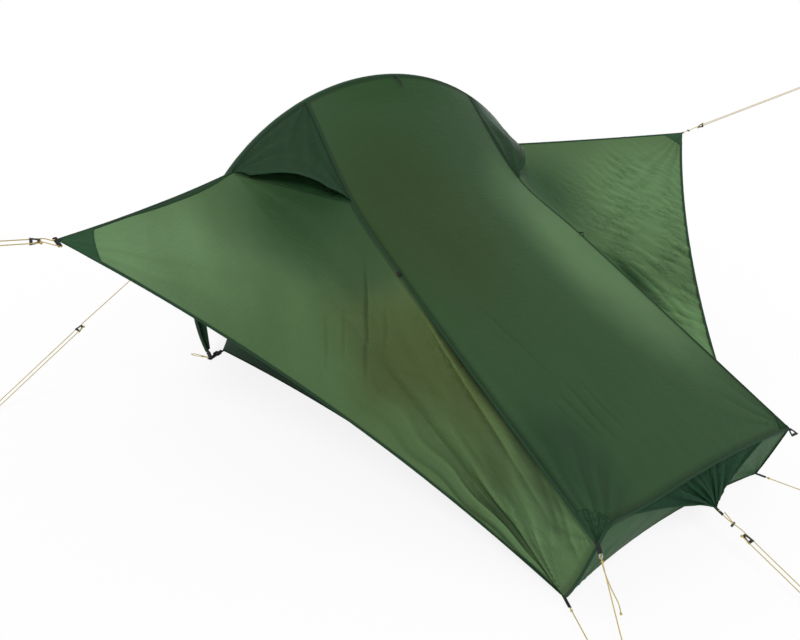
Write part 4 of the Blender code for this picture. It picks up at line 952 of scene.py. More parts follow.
# What grows along a path
class Growth(Graph):
    """A geometry tree that grows a mesh along a path whose points hold their outward direction."""

    def __init__(self, name: str, sizes: Mapping[str, float]) -> None:
        """Start a tree with named inputs.

        Args:
            name: The tree's name.
            sizes: Its sizes and their defaults.
        """
        super().__init__(bpy.data.node_groups.new(name, "GeometryNodeTree"))
        face = self.tree.interface
        face.new_socket("Path", in_out="INPUT", socket_type="NodeSocketGeometry")
        for size, default in sizes.items():
            face.new_socket(size, in_out="INPUT", socket_type="NodeSocketFloat").default_value = default
        face.new_socket("Seed", in_out="INPUT", socket_type="NodeSocketInt").default_value = 1
        face.new_socket("Material", in_out="INPUT", socket_type="NodeSocketMaterial")
        face.new_socket("Piece", in_out="OUTPUT", socket_type="NodeSocketGeometry")
        self.inlet = self.add("NodeGroupInput")
        self.out = self.value("GeometryNodeInputNamedAttribute", {"data_type": "FLOAT_VECTOR"},
                              {"Name": "out"})
        run = self.value("GeometryNodeMeshToCurve", None, {"Mesh": self.inlet.outputs["Path"]})
        self.run = self.value("GeometryNodeSetCurveNormal", {"mode": "FREE"},
                              {"Curve": run, "Normal": self.out})

    def size(self, name: str) -> Value:
        """One of the tree's inputs."""
        return Value(self, self.inlet.outputs[name])

    def uneven(self, stretch: Point, scale: float) -> Value:
        """Noise around zero over the places, moved by the tree's seed, times the pucker."""
        place = self.value("GeometryNodeInputPosition")
        moved = self.vector("ADD", place, self.combined(self.size("Seed") * 3.7, 0.0, 0.0))
        noise = self.noise(self.vector("MULTIPLY", moved, stretch), scale, 3.0) - 0.5
        return noise * self.size("Pucker")

    def moved(self, geometry: Value, direction: Value, distance: Value) -> Value:
        """The geometry with its points moved in a direction."""
        return self.value("GeometryNodeSetPosition", None, {
            "Geometry": geometry, "Offset": self.scaled(direction, distance)})

    def spaced(self) -> Value:
        """The path with its points a pitch apart."""
        return self.value("GeometryNodeResampleCurve", {"mode": "LENGTH"},
                          {"Curve": self.run, "Length": self.size("Pitch")})

    def beaded(self, spots: Value, x: Value, y: Value, z: Value) -> bpy.types.NodeTree:
        """Close the tree with a small bead at each spot.

        Args:
            spots: The beads' places.
            x: Their size outwards.
            y: Their size across the path.
            z: Their size along it.

        Returns:
            The finished tree.
        """
        tangent = self.value("GeometryNodeInputTangent")
        first = self.value("FunctionNodeAlignRotationToVector", {"axis": "Z"}, {"Vector": tangent})
        turned = self.value("FunctionNodeAlignRotationToVector", {"axis": "X", "pivot_axis": "Z"},
                            {"Rotation": first, "Vector": self.out})
        bead = self.value("GeometryNodeMeshIcoSphere", None, {"Radius": 0.5, "Subdivisions": 1})
        return self.ended(self.value("GeometryNodeInstanceOnPoints", None, {
            "Points": spots, "Instance": bead, "Rotation": turned, "Scale": self.combined(x, y, z)}))

    def swept(self, sides: int, caps: bool) -> Value:
        """Sweep an oval along the path.

        Args:
            sides: How many sides the oval has.
            caps: Whether both ends are filled.

        Returns:
            The swept mesh.
        """
        oval = self.value("GeometryNodeCurvePrimitiveCircle", {"mode": "RADIUS"},
                          {"Resolution": sides, "Radius": 1.0})
        scale = self.combined(self.size("Half Depth"), self.size("Half Width"), 1.0)
        shaped = self.value("GeometryNodeTransform", None, {"Geometry": oval, "Scale": scale})
        return self.value("GeometryNodeCurveToMesh", None,
                          {"Curve": self.run, "Profile Curve": shaped, "Fill Caps": caps})

    def ended(self, geometry: Value) -> bpy.types.NodeTree:
        """Close the tree.

        Args:
            geometry: What the tree gives.

        Returns:
            The finished tree.
        """
        real = self.value("GeometryNodeRealizeInstances", None, {"Geometry": geometry})
        smooth = self.value("GeometryNodeSetShadeSmooth", None, {"Geometry": real})
        dressed_up = self.value("GeometryNodeSetMaterial", None,
                                {"Geometry": smooth, "Material": self.size("Material")})
        self.add("NodeGroupOutput", None, {"Piece": dressed_up})
        return self.tree


def tape_tree() -> bpy.types.NodeTree:
    """The tree of a flat tape or a round piping."""
    grown = Growth("tape", {"Half Width": 0.005, "Half Depth": 0.001, "Pucker": 0.0, "Lift": 0.0})
    uneven = grown.uneven((1.0, 1.0, 1.0), 95.0)
    return grown.ended(grown.moved(grown.swept(10, True), grown.out, uneven + grown.size("Lift")))


def sleeve_tree() -> bpy.types.NodeTree:
    """The tree of the open fabric tunnel over the hoop, puckered along its sewn edges."""
    grown = Growth("sleeve", {"Half Width": 0.0145, "Half Depth": 0.0068, "Pucker": 0.0016})
    outward = grown.value("GeometryNodeInputNormal")
    return grown.ended(grown.moved(grown.swept(28, False), outward, grown.uneven((1.0, 0.35, 1.0), 60.0)))


def stitch_tree() -> bpy.types.NodeTree:
    """The tree of a row of stitches."""
    grown = Growth("stitches", {"Pitch": 0.0055, "Length": 0.0038, "Gauge": 0.0009, "Lift": 0.0016})
    gauge = grown.size("Gauge")
    return grown.beaded(grown.moved(grown.spaced(), grown.out, grown.size("Lift")), gauge, gauge,
                        grown.size("Length"))


def coil_tree() -> bpy.types.NodeTree:
    """The tree of a coil zip's teeth, in two rows that take turns."""
    grown = Growth("coil", {"Pitch": 0.0026, "Width": 0.0030, "Depth": 0.0018, "Offset": 0.0})
    turn = grown.value("GeometryNodeInputIndex") % 2.0
    across = grown.vector("CROSS_PRODUCT", grown.out, grown.value("GeometryNodeInputTangent"))
    spots = grown.moved(grown.spaced(), across, (turn * 2.0 - 1.0) * grown.size("Offset"))
    return grown.beaded(spots, grown.size("Depth"), grown.size("Width"), grown.size("Pitch") * 0.8)


class Trim(Enum):
    """What grows along a path, each by a tree that is built at its first use."""

    TAPE = "tape"
    SLEEVE = "sleeve"
    STITCHES = "stitches"
    COIL = "coil"

    def tree(self) -> bpy.types.NodeTree:
        """The trim's tree."""
        builders = {Trim.TAPE: tape_tree, Trim.SLEEVE: sleeve_tree, Trim.STITCHES: stitch_tree,
                    Trim.COIL: coil_tree}
        return bpy.data.node_groups.get(self.value) or builders[self]()

    def grown(self, name: str, path: np.ndarray, outs: Point, finish: Finish,
              **sizes: float) -> bpy.types.Object:
        """Grow one piece.

        Args:
            name: The piece's name.
            path: The points that it follows.
            outs: The outward direction at each point, or one for all.
            finish: Its finish.
            sizes: The tree's inputs, in lower case with underscores.

        Returns:
            The piece as a plain mesh.
        """
        mesh = bpy.data.meshes.new(name + "_path")
        mesh.from_pydata(path.tolist(), [(i, i + 1) for i in range(len(path) - 1)], [])
        facing = np.broadcast_to(unit(outs), path.shape).astype(np.float32)
        mesh.attributes.new("out", "FLOAT_VECTOR", "POINT").data.foreach_set("vector", facing.ravel())
        piece, tree = linked(name, mesh), self.tree()
        growing = piece.modifiers.new(tree.name, "NODES")
        growing.node_group = tree
        wanted = {key.replace("_", " ").title(): value for key, value in sizes.items()}
        wanted["Material"] = finish.material()
        for item in tree.interface.items_tree:
            if item.in_out == "INPUT" and item.name in wanted:
                growing[item.identifier] = wanted[item.name]
        graph = bpy.context.evaluated_depsgraph_get()
        piece_mesh = bpy.data.meshes.new_from_object(piece.evaluated_get(graph), depsgraph=graph)
        piece.modifiers.clear()
        piece.data, piece_mesh.name = piece_mesh, name
        bpy.data.meshes.remove(mesh)
        return piece

    def lay(self, name: str, body: str, path: np.ndarray, outs: Point, finish: Finish, *nodes: str,
            **sizes: float) -> None:
        """Grow one piece as grown does, and set it on its body for the nodes that it stands for."""
        settled(self.grown(name, path, outs, finish, **sizes), body, finish, *nodes)


# Cords
def tube(name: str, route: np.ndarray, diameter: float, finish: Finish,
         closed: bool = False) -> bpy.types.Object:
    """A round cord along a route.

    Args:
        name: The piece's name.
        route: The points that it follows.
        diameter: Its thickness.
        finish: Its finish.
        closed: Whether the route runs back into its start.

    Returns:
        The curve object, or a mesh object for a closed route.
    """
    curve = bpy.data.curves.new(name, "CURVE")
    curve.dimensions = "3D"
    curve.bevel_depth, curve.bevel_resolution = diameter / 2, 3
    curve.use_fill_caps = not closed
    spline = curve.splines.new("POLY")
    spline.points.add(len(route) - 1)
    for spot, place in zip(spline.points, route):
        spot.co = (*place, 1.0)
    spline.use_cyclic_u, spline.use_smooth = closed, True
    curve.materials.append(finish.material())
    piece = linked(name, curve)
    return meshed(piece) if closed else piece


def meshed(piece: bpy.types.Object) -> bpy.types.Object:
    """Turn a curve object into a mesh object of the same name."""
    graph = bpy.context.evaluated_depsgraph_get()
    mesh = bpy.data.meshes.new_from_object(piece.evaluated_get(graph), depsgraph=graph)
    mesh.name, old = piece.name, piece.data
    bpy.data.objects.remove(piece, do_unlink=True)
    bpy.data.curves.remove(old)
    return linked(mesh.name, mesh)


def knot(name: str, body: str, centre: Point, along: Point, size: float = 0.0032) -> bpy.types.Object:
    """Tie a small knot in a cord.

    Args:
        name: The piece's name.
        body: The body that it moves with.
        centre: Its middle.
        along: The cord's direction through it.
        size: Its half length.

    Returns:
        The piece.
    """
    run = unit(along)
    rise = unit(np.cross(run, (0.3, 0.9, 0.2)))
    aside = np.cross(run, rise)
    t = np.linspace(0.0, 2 * math.pi, 49)[:-1, None]
    path = (np.array(centre)
            + run * size * 1.15 * np.sin(3 * t) * 0.55
            + rise * size * 0.5 * (np.sin(t) + 2 * np.sin(2 * t)) * 0.55
            + aside * size * 0.5 * (np.cos(t) - 2 * np.cos(2 * t)) * 0.55)
    return settled(tube(name, path, CORD_WIDTH * 0.9, CORD, closed=True), body, CORD)


def cord(name: str, body: str, route: np.ndarray, *nodes: str, far_end: str = "knot", lay: str = "taut",
         knots: Mapping[str, Sequence[Any]] | None = None) -> None:
    """Args:
        name: The piece's name.
        body: The body that it moves with.
        route: The points that it follows, from where it leaves the tent.
        nodes: The solids that it stands for.
        far_end: What its far end goes into; not used.
        lay: How it lies; not used.
        knots: Each knot's name, with its middle, the cord's direction and any size of its own.
    """
    piece = settled(tube(name, route, CORD_WIDTH, CORD), body, CORD, *nodes)
    tied = [knot(each, body, *values) for each, values in (knots or {}).items()]




def between(first: np.ndarray, second: np.ndarray, columns: int) -> np.ndarray:
    """A grid with straight rows of points from one line of points to another."""
    share = shares(columns)[None, :, None]
    return first[:, None] * (1 - share) + second[:, None] * share


# The hoop and the pattern of the flysheet, as the solids have them
@dataclass
class Hoop:
    """The arch that carries the tent: its line, its sleeve and the pole in it."""

    height: float = 1.062
    crown_radius: float = 0.915
    crown_half_angle: float = math.radians(46.8)
    side_radius: float = 0.751
    tip_height: float = 0.0095
    sleeve_half_width: float = 0.0145
    sleeve_half_depth: float = 0.0072
    sleeve_trim: float = 0.034
    sleeve_wall: float = 0.0007
    stitch_place: Point = (0.0112, 0.0050)
    flap_bottom: float = 0.014
    flap_seat: float = 0.8
    flap_height: float = 0.30
    flap_width: float = 0.034
    cloth_edge: float = 0.0148
    cloth_lift: float = 0.0006
    pole_sections: int = 8

    @property
    def crown_length(self) -> float:
        """The crown arc's length on one side."""
        return self.crown_radius * self.crown_half_angle

    @property
    def half(self) -> float:
        """The hoop's length from its top to one tip."""
        return self.arc_at(self.tip_height)

    def side_centre(self) -> tuple[float, float]:
        """The side arc's centre, as its distance from the middle and its height."""
        spare = self.crown_radius - self.side_radius
        return (spare * math.sin(self.crown_half_angle),
                self.height - self.crown_radius + spare * math.cos(self.crown_half_angle))

    def arc_at(self, height: float) -> float:
        """The length along the hoop from its top down to a height on its side arc."""
        turn = math.acos((height - self.side_centre()[1]) / self.side_radius)
        return self.crown_length + self.side_radius * (turn - self.crown_half_angle)

    def frames(self, arcs: np.ndarray) -> tuple[np.ndarray, np.ndarray]:
        """Follow the hoop.

        Args:
            arcs: Signed lengths from the top.

        Returns:
            The places and the outward directions there.
        """
        arcs = np.atleast_1d(np.asarray(arcs, dtype=float))
        sign, length, flat = np.where(arcs < 0, -1.0, 1.0), np.abs(arcs), np.zeros(len(arcs))
        high = length <= self.crown_length
        turn = np.where(high, length / self.crown_radius,
                        self.crown_half_angle + (length - self.crown_length) / self.side_radius)
        reach, level = self.side_centre()
        centre_z = np.where(high, self.height - self.crown_radius, level)
        radius = np.where(high, self.crown_radius, self.side_radius)
        outward = np.stack([sign * np.sin(turn), flat, np.cos(turn)], axis=-1)
        centres = np.stack([np.where(high, 0.0, sign * reach), flat, centre_z], axis=-1)
        return centres + outward * radius[:, None], outward

    def edge(self, start: float, end: float, steps: int, y: float) -> np.ndarray:
        """Points beside the hoop between two signed lengths."""
        places, outward = self.frames(np.linspace(start, end, steps + 1))
        return places + outward * self.cloth_lift + HEAD_WARD * y

    def spot(self, arc: float, y: float) -> np.ndarray:
        """The point beside the hoop at a signed length."""
        return self.edge(arc, arc, 1, y)[0]

    def build(self) -> None:
        """Make the sleeve with its stitches and dress the pole inside it."""
        reach = self.half - self.sleeve_trim
        places, outward = self.frames(np.linspace(-reach, reach, 220))
        sleeve = Trim.SLEEVE.grown("sleeve", places, outward, SHADED, pucker=0.0015, seed=3,
                                   half_width=self.sleeve_half_width, half_depth=self.sleeve_half_depth)
        wall = sleeve.modifiers.new("wall", "SOLIDIFY")
        wall.thickness, wall.offset = self.sleeve_wall, -1.0
        settled(sleeve, "tent", SHADED, "hoop_sleeve")
        aside, rise = self.stitch_place
        for name, y in (("foot", -aside), ("head", aside)):
            Trim.STITCHES.lay("sleeve_stitches_" + name, "tent", places + outward * rise + HEAD_WARD * y,
                              outward, THREAD, pitch=0.0052, length=0.0036, lift=0.0002)
        for number in range(self.pole_sections):
            dressed("hoop_pole_%d" % (number + 1), METAL)
        dressed("hoop_shock_cord", ELASTIC)
        for side in Side:
            self.leg_flap(side)
        top, out = self.frames(np.array([0.0]))
        start = top[0] + out[0] * 0.0022 - HEAD_WARD * self.cloth_edge
        loop = [start - HEAD_WARD * ahead - UPWARD * down for ahead, down in
                ((0.0, 0.0), (0.014, 0.004), (0.032, 0.014), (0.050, 0.027))]
        Trim.TAPE.lay("crown_loop", "tent", smooth_path(loop, 6), (0.0, -0.62, 0.78), TAPE,
                      half_width=0.0045, half_depth=0.0009, lift=0.0022)

    def leg_flap(self, side: Side) -> None:
        """Make the narrow cloth that closes the bend on the inner side of the sleeve's foot.

        Args:
            side: The side that it is on.
        """
        low, high = self.half - self.sleeve_trim, self.arc_at(self.flap_height)
        places, outward = self.frames(side.sign * np.linspace(low, high, 25))
        outer = places - outward * self.sleeve_half_depth * self.flap_seat
        inner = line(places[0] - outward[0] * self.flap_bottom, places[-1] - outward[-1] * self.flap_width,
                     24)
        cut = Cut("leg_flap_" + side.value, between(outer, inner, 8), (0.0, 1.0, 0.2))
        cut.put_up("tent", PATCH, hem=PATCH_HEM)


@dataclass
class Pattern:
    """The corner points and edge curves that the flysheet's cuts share, as points of the right side."""

    hoop: Hoop
    seam_arc: float = 0.400
    vent_corner: Point = (0.397, -0.374, 0.701)
    seam_tab: Point = (0.421, -0.718, 0.564)
    foot_top: Point = (0.442, -1.609, 0.221)
    foot_bottom: Point = (0.455, -1.566, 0.004)
    foot_top_recess: float = 0.018
    foot_bottom_recess: float = 0.036
    foot_crown: float = 0.012
    foot_scallop: float = 0.034
    foot_scallop_reach: float = 0.050
    corner_bows: tuple[Point, Point] = ((-0.030, -0.016, 0.0), (-0.008, -0.003, 0.0))
    head_seam_middle: Point = (0.396, 0.420, 0.628)
    head_top: Point = (0.395, 0.850, 0.300)
    head_bottom: Point = (0.430, 0.890, 0.004)
    head_recess: float = 0.020
    head_crown: float = 0.015
    head_hem_height: float = 0.150
    head_hem_cut: float = 0.030
    door_top_height: float = 0.750
    door_corner_setback: float = 0.0225
    side_rows: int = 8
    side_folds: int = 2
    side_fold_depth: float = 0.005
    seam_steps: int = 5
    roof_columns: int = 10
    net_columns: int = 4

    @property
    def door_top_arc(self) -> float:
        """The length along the hoop down to the doors' top corners."""
        return self.hoop.arc_at(self.door_top_height)

    def beside(self, end: str) -> float:
        """How far the cloth toward one end starts from the hoop's plane."""
        return self.hoop.cloth_edge * (-1.0 if end == "foot" else 1.0)

    def seam(self, end: str, side: Side) -> np.ndarray:
        """The roof seam from the hoop to one end."""
        rest = ((self.vent_corner, self.seam_tab, self.foot_top) if end == "foot" else
                (self.head_seam_middle, self.head_top))
        start = self.hoop.spot(side.sign * self.seam_arc, self.beside(end))
        return smooth_path([start] + [side.place(p) for p in rest], self.seam_steps * FINE)

    def crossing(self, point: Point, *bow: float) -> np.ndarray:
        """An edge that runs from left to right and ends at a point, with its bow."""
        return bowed(Side.LEFT.place(point), point, self.roof_columns * FINE, bow)

    def edges(self, end: str) -> tuple[np.ndarray, np.ndarray]:
        """The top and bottom edges of one end, from left to right."""
        if end == "head":
            return (self.crossing(self.head_top, 0.0, -self.head_recess, self.head_crown),
                    self.crossing(self.head_bottom, 0.0, -self.head_recess, 0.0))
        top = self.crossing(self.foot_top, 0.0, self.foot_top_recess, self.foot_crown)
        near = (top[:, :1] - top[0, 0]) / self.foot_scallop_reach
        top = top + np.array((0.0, 0.08, 0.99)) * self.foot_scallop * near * np.exp(1.0 - near)
        return top, self.crossing(self.foot_bottom, 0.0, self.foot_bottom_recess, 0.0)

    def foot_corner(self, side: Side, steps: int) -> np.ndarray:
        """The upright edge between the side and the foot end, from the top down."""
        bow = self.corner_bows[0 if side is Side.LEFT else 1]
        return bowed(side.place(self.foot_top), side.place(self.foot_bottom), steps, bow)

    def door_top(self, side: Side) -> np.ndarray:
        """The door's top corner, just off the sleeve."""
        corner = self.hoop.spot(side.sign * self.door_top_arc, 0.0)
        corner[1] = -self.door_corner_setback
        return corner

    def vent_line(self, side: Side, steps: int) -> np.ndarray:
        """The straight line under the vent, from the door's top corner to the roof seam."""
        return line(self.door_top(side), side.place(self.vent_corner), steps)

    def side_grid(self, side: Side) -> np.ndarray:
        """The fixed side panel of the foot half, down to the door's fold line."""
        seam = self.seam("foot", side)[self.seam_steps * FINE:]
        upper = np.vstack([self.vent_line(side, self.net_columns * FINE)[:-1], seam])
        start, end = self.door_top(side), side.place(self.foot_bottom)
        share = ((upper[:, 1] - upper[0, 1]) / (upper[-1, 1] - upper[0, 1]))[:, None]
        lower = start * (1 - share) + end * share
        rows = self.side_rows * FINE
        grid = patch(upper, lower, np.repeat(start[None], rows + 1, axis=0),
                     self.foot_corner(side, rows))
        out = unit(np.cross(seam[-1] - start, end - start))
        v, u = shares(grid.shape[0] - 1)[:, None], shares(grid.shape[1] - 1)[None, :]
        lift = np.sin(math.pi * u) * np.sin(math.pi * v) * np.sin(2 * math.pi * self.side_folds * v)
        return grid + out * (self.side_fold_depth * lift)[..., None]

    def head_side_grid(self, side: Side) -> np.ndarray:
        """The side panel of the head half, from the hoop to the head end."""
        seam = self.seam("head", side)
        rows = self.side_rows * FINE
        leg = self.hoop.edge(side.sign * self.seam_arc, side.sign * self.hoop.arc_at(self.head_hem_height),
                             rows, self.hoop.cloth_edge)
        hem = bowed(leg[-1], side.place(self.head_bottom), len(seam) - 1,
                    (-side.sign * self.head_hem_cut, 0.0, self.head_hem_cut))
        return patch(seam, hem, leg, line(seam[-1], hem[-1], rows))

    def vent_rows(self, side: Side, columns: int) -> np.ndarray:
        """Rows of points that fan from the seam's top down to the vent line."""
        steps = self.seam_steps * FINE
        edge = self.hoop.edge(side.sign * self.seam_arc, side.sign * self.door_top_arc, steps,
                              -self.hoop.cloth_edge)
        setback = np.clip(np.linspace(-4.0, 1.0, steps + 1), 0.0, 1.0)
        edge[:, 1] -= setback * (self.door_corner_setback - self.hoop.cloth_edge)
        return between(edge, self.seam("foot", side)[:steps + 1], columns)


@dataclass
class Flysheet:
    """The fixed cloths of the outer tent with their seams, hems and corner patches."""

    pattern: Pattern
    wings: Mapping[Side, "Awning"]
    seam_half_width: float = 0.0042
    hem_half_width: float = 0.0050
    patch_reach: tuple[float, float] = (0.085, 0.066)
    patch_shares: Mapping[Side, float] = field(default_factory=lambda: {Side.LEFT: 1.0, Side.RIGHT: 0.55})
    patch_bulge: float = 0.30
    side_tilt: float = 0.8
    end_tilt: float = 0.6
    tab_reach: float = 0.011
    tab_height: float = 0.010
    tab_shoulder: float = 0.007
    cuts: dict[str, Cut] = field(default_factory=dict)

    def roof(self) -> None:
        """Make the roof panels on both sides of the hoop."""
        foot = Cut("roof_foot", refined(self.roof_grid("foot")))
        foot.fold(
            Crease((-0.267, -0.91, 0.504), (-0.207, -1.24, 0.376), 0.009, -0.0016),
            Crease((-0.192, -1.22, 0.380), (-0.173, -1.44, 0.294), 0.007, -0.0030),
            Crease((-0.239, -1.24, 0.373), (-0.212, -1.42, 0.302), 0.007, -0.0030),
            Crease((-0.143, -1.23, 0.380), (-0.125, -1.44, 0.295), 0.007, -0.0024),
            Crease((-0.278, -1.26, 0.364), (-0.251, -1.41, 0.305), 0.007, -0.0020),
            Fan(Side.LEFT.place(self.pattern.foot_top), (-0.1, -0.9, 0.5), 0.8, 5.0, 0.0028, 0.20),
            Fan(self.pattern.foot_top, (0.1, -0.9, 0.5), 0.8, 4.0, 0.0024, 0.18, phase=1.0),
            Ripples((0.0, -0.9, 0.5), 1.1, (0.2, -0.9, 0.3), 0.20, 0.0007, 5),
            Ripples((0.0, -1.58, 0.24), 0.40, (0.0, -0.9, -0.3), 0.060, 0.0005, 8), fade=0.012)
        self.finish(foot, ROOF, "fly_roof_foot", "sleeve")
        head = Cut("roof_head", self.roof_grid("head"))
        head.fold(
            Fan(Side.LEFT.place(self.pattern.head_top), (0.0, 0.3, 0.7), 0.8, 4.0, 0.0026, 0.20),
            Fan(self.pattern.head_top, (0.0, 0.3, 0.7), 0.8, 4.0, 0.0026, 0.20, phase=2.0),
            Ripples((0.0, 0.45, 0.75), 0.9, (0.1, 0.8, -0.5), 0.15, 0.0011, 15), fade=0.012)
        self.finish(head, ROOF, "fly_roof_head", "sleeve")

    def roof_grid(self, end: str) -> np.ndarray:
        """The points of the roof from the hoop to one end."""
        shape = self.pattern
        arch = shape.hoop.edge(-shape.seam_arc, shape.seam_arc, shape.roof_columns * FINE,
                               shape.beside(end))
        return patch(arch, shape.edges(end)[0], *(shape.seam(end, side) for side in Side))

    def ends(self) -> None:
        """Make the upright panels at the foot and head ends."""
        rows = self.pattern.side_rows * 4
        for name, seed in (("foot", 21), ("head", 31)):
            top, bottom = self.pattern.edges(name)
            corners = [line(top[i], bottom[i], rows) for i in (0, -1)]
            if name == "foot":
                corners = [self.pattern.foot_corner(side, rows) for side in Side]
            cut = Cut("end_" + name, patch(top, bottom, *corners))
            low, high = bottom[0], top[-1]
            cut.fold(Fan(low, high, 0.9, 4.0, 0.0030, 0.22),
                     Fan(bottom[-1], top[0], 0.9, 4.0, 0.0030, 0.22, phase=1.6),
                     Ripples((low + high) / 2, 0.5, high - low, 0.07, 0.0014, seed), fade=0.010)
            self.finish(cut, END, "fly_end_" + name, "roof_" + name)
            self.hem("end_hem_" + name, cut)

    def side(self, side: Side) -> None:
        """Make the side panels of both halves.

        Args:
            side: The side that they close.
        """
        shape = self.pattern
        cut = Cut("side_foot_" + side.value, refined(shape.side_grid(side)))
        folds = on_side(
            side, Fan(shape.foot_bottom, (0.48, -0.9, 0.42), 0.42, 3.0, 0.0036, 0.42, phase=0.7),
            Fan(shape.foot_top, (0.45, -1.40, 0.20), 0.8, 3.0, 0.0020, 0.15, near=0.02, phase=2.1),
            Crease((0.428, -0.78, 0.535), (0.451, -1.54, 0.165), 0.007, 0.0060),
            Crease((0.418, -0.76, 0.548), (0.445, -1.56, 0.208), 0.013, -0.0070),
            Crease((0.494, -1.10, 0.290), (0.457, -1.54, 0.035), 0.010, -0.0040),
            Ripples((0.47, -1.2, 0.26), 0.45, np.array(shape.foot_top) - (0.42, -0.7, 0.56), 0.060, 0.0009,
                    41),
            Ripples((0.53, -0.5, 0.60), 0.45, (0.0, -0.5, -0.5), 0.13, 0.0008, 43))
        if side is Side.LEFT:
            folds += LEFT_FOLDS
        cut.fold(*folds, fade=0.010).lean_toward(self.wings[side].up(), 1, 0.24)
        self.finish(cut, WING, "fly_side_foot_" + side.value, "roof_foot", (0, 3))
        cut = Cut("side_head_" + side.value, shape.head_side_grid(side))
        cut.fold(*on_side(
            side, Fan(shape.head_bottom, (0.0, 0.2, 0.5), 0.7, 5.0, 0.0036, 0.35),
            Fan(side.place(cut.grid[-1, 0]), (0.45, 0.5, 0.5), 0.7, 4.0, 0.0032, 0.35),
            Ripples((0.55, 0.4, 0.4), 0.6, (0.0, 0.6, -0.4), 0.10, 0.0014, 47)), fade=0.010)
        self.finish(cut, WING, "fly_side_head_" + side.value, "roof_head")
        self.hem("side_hem_" + side.value, cut)

    def finish(self, cut: Cut, cloth: Finish, node: str, rests_on: str,
               hemmed: Sequence[int] = ALL_EDGES) -> None:
        cut.put_up("tent", cloth, node, rests_on=rests_on, hemmed=hemmed)
        self.cuts[cut.name] = cut

    def hem(self, name: str, cut: Cut) -> None:
        """Bind a cut's last edge with a dark tape."""
        Trim.TAPE.lay(name, "tent", cut.grid[-1], cut.normals[-1], SHADED, pucker=0.0010, seed=2,
                      half_width=self.hem_half_width, half_depth=0.0011)

    def seams(self) -> None:
        """Lay the seam tapes, with a row of stitches on each."""
        columns = {Side.LEFT: 0, Side.RIGHT: -1}
        for side, column in columns.items():
            for name in ("foot", "head"):
                path, near = self.pattern.seam(name, side), self.cuts["roof_" + name]
                other = self.cuts["side_%s_%s" % (name, side.value)].mean
                step = (near.normals.shape[0] - 1) // (len(path) - 1)
                outs = unit(near.normals[::step, column] + other * self.side_tilt)
                self.seam("seam_%s_%s" % (name, side.value), path, outs)
        for name in ("foot", "head"):
            roof, end = self.cuts["roof_" + name], self.cuts["end_" + name]
            outs = unit(roof.normals[-1] + end.mean * self.end_tilt)
            self.seam("seam_end_" + name, roof.grid[-1], outs)
            for side, column in columns.items():
                outs = unit(end.normals[:, column] + np.array((side.sign, 0.0, 0.0)))
                self.seam("seam_corner_%s_%s" % (name, side.value), end.grid[:, column], outs)

    def seam(self, name: str, path: np.ndarray, outs: np.ndarray) -> None:
        """Lay one seam.

        Args:
            name: The piece's name.
            path: The seam's line.
            outs: The outward direction at each of its points.
        """
        Trim.TAPE.lay(name, "tent", path, outs, SHADED, pucker=0.0016, seed=4,
                      half_width=self.seam_half_width, half_depth=0.0013, lift=0.0004)
        across = unit(np.cross(outs, unit(np.gradient(path, axis=0))))
        Trim.STITCHES.lay(name + "_stitches", "tent", path + across * self.seam_half_width * 0.5, outs,
                          THREAD)

    def patches(self) -> None:
        """Sew dark patches into the corners, and small tabs on the seams."""
        for name in ("foot", "head"):
            roof = self.cuts["roof_" + name]
            for side, column, sign in ((Side.LEFT, 0, 1), (Side.RIGHT, -1, -1)):
                reach = tuple(size * self.patch_shares[side] for size in self.patch_reach)
                shape = tongue(roof.grid[::-1, column], roof.grid[-1, ::sign], reach, self.patch_bulge)
                cut = roof.resting("corner_patch_%s_%s" % (name, side.value), shape, PATCH_LIFT)
                cut.fold(Fan(shape[0, 0], shape[-1, 16], 0.8, 5.0, 0.0020, 0.2, near=0.02), fade=0.006)
                cut.put_up("tent", SHADED, hem=PATCH_HEM)
        for side in Side:
            tab = side.place(self.pattern.seam_tab)
            out = unit((side.sign * 0.72, -0.25, 0.65))
            run = unit(side.place(self.pattern.foot_top) - tab)
            reach, bend, rise = run * self.tab_reach, run * self.tab_shoulder, out * self.tab_shoulder
            loop = [tab - reach, tab - bend + rise, tab + out * self.tab_height, tab + bend + rise,
                    tab + reach]
            Trim.TAPE.lay("seam_tab_" + side.value, "tent", smooth_path(loop, 6), np.cross(out, run), TAPE,
                          half_width=0.0010, half_depth=0.0050)

    def build(self) -> None:
        """Make the whole outer tent but its doors and vents."""
        self.roof()
        self.ends()
        for side in Side:
            self.side(side)
        self.seams()
        self.patches()
        for end in ("foot", "head"):
            for side in Side:
                dressed("corner_strut_%s_%s" % (end, side.value), METAL)


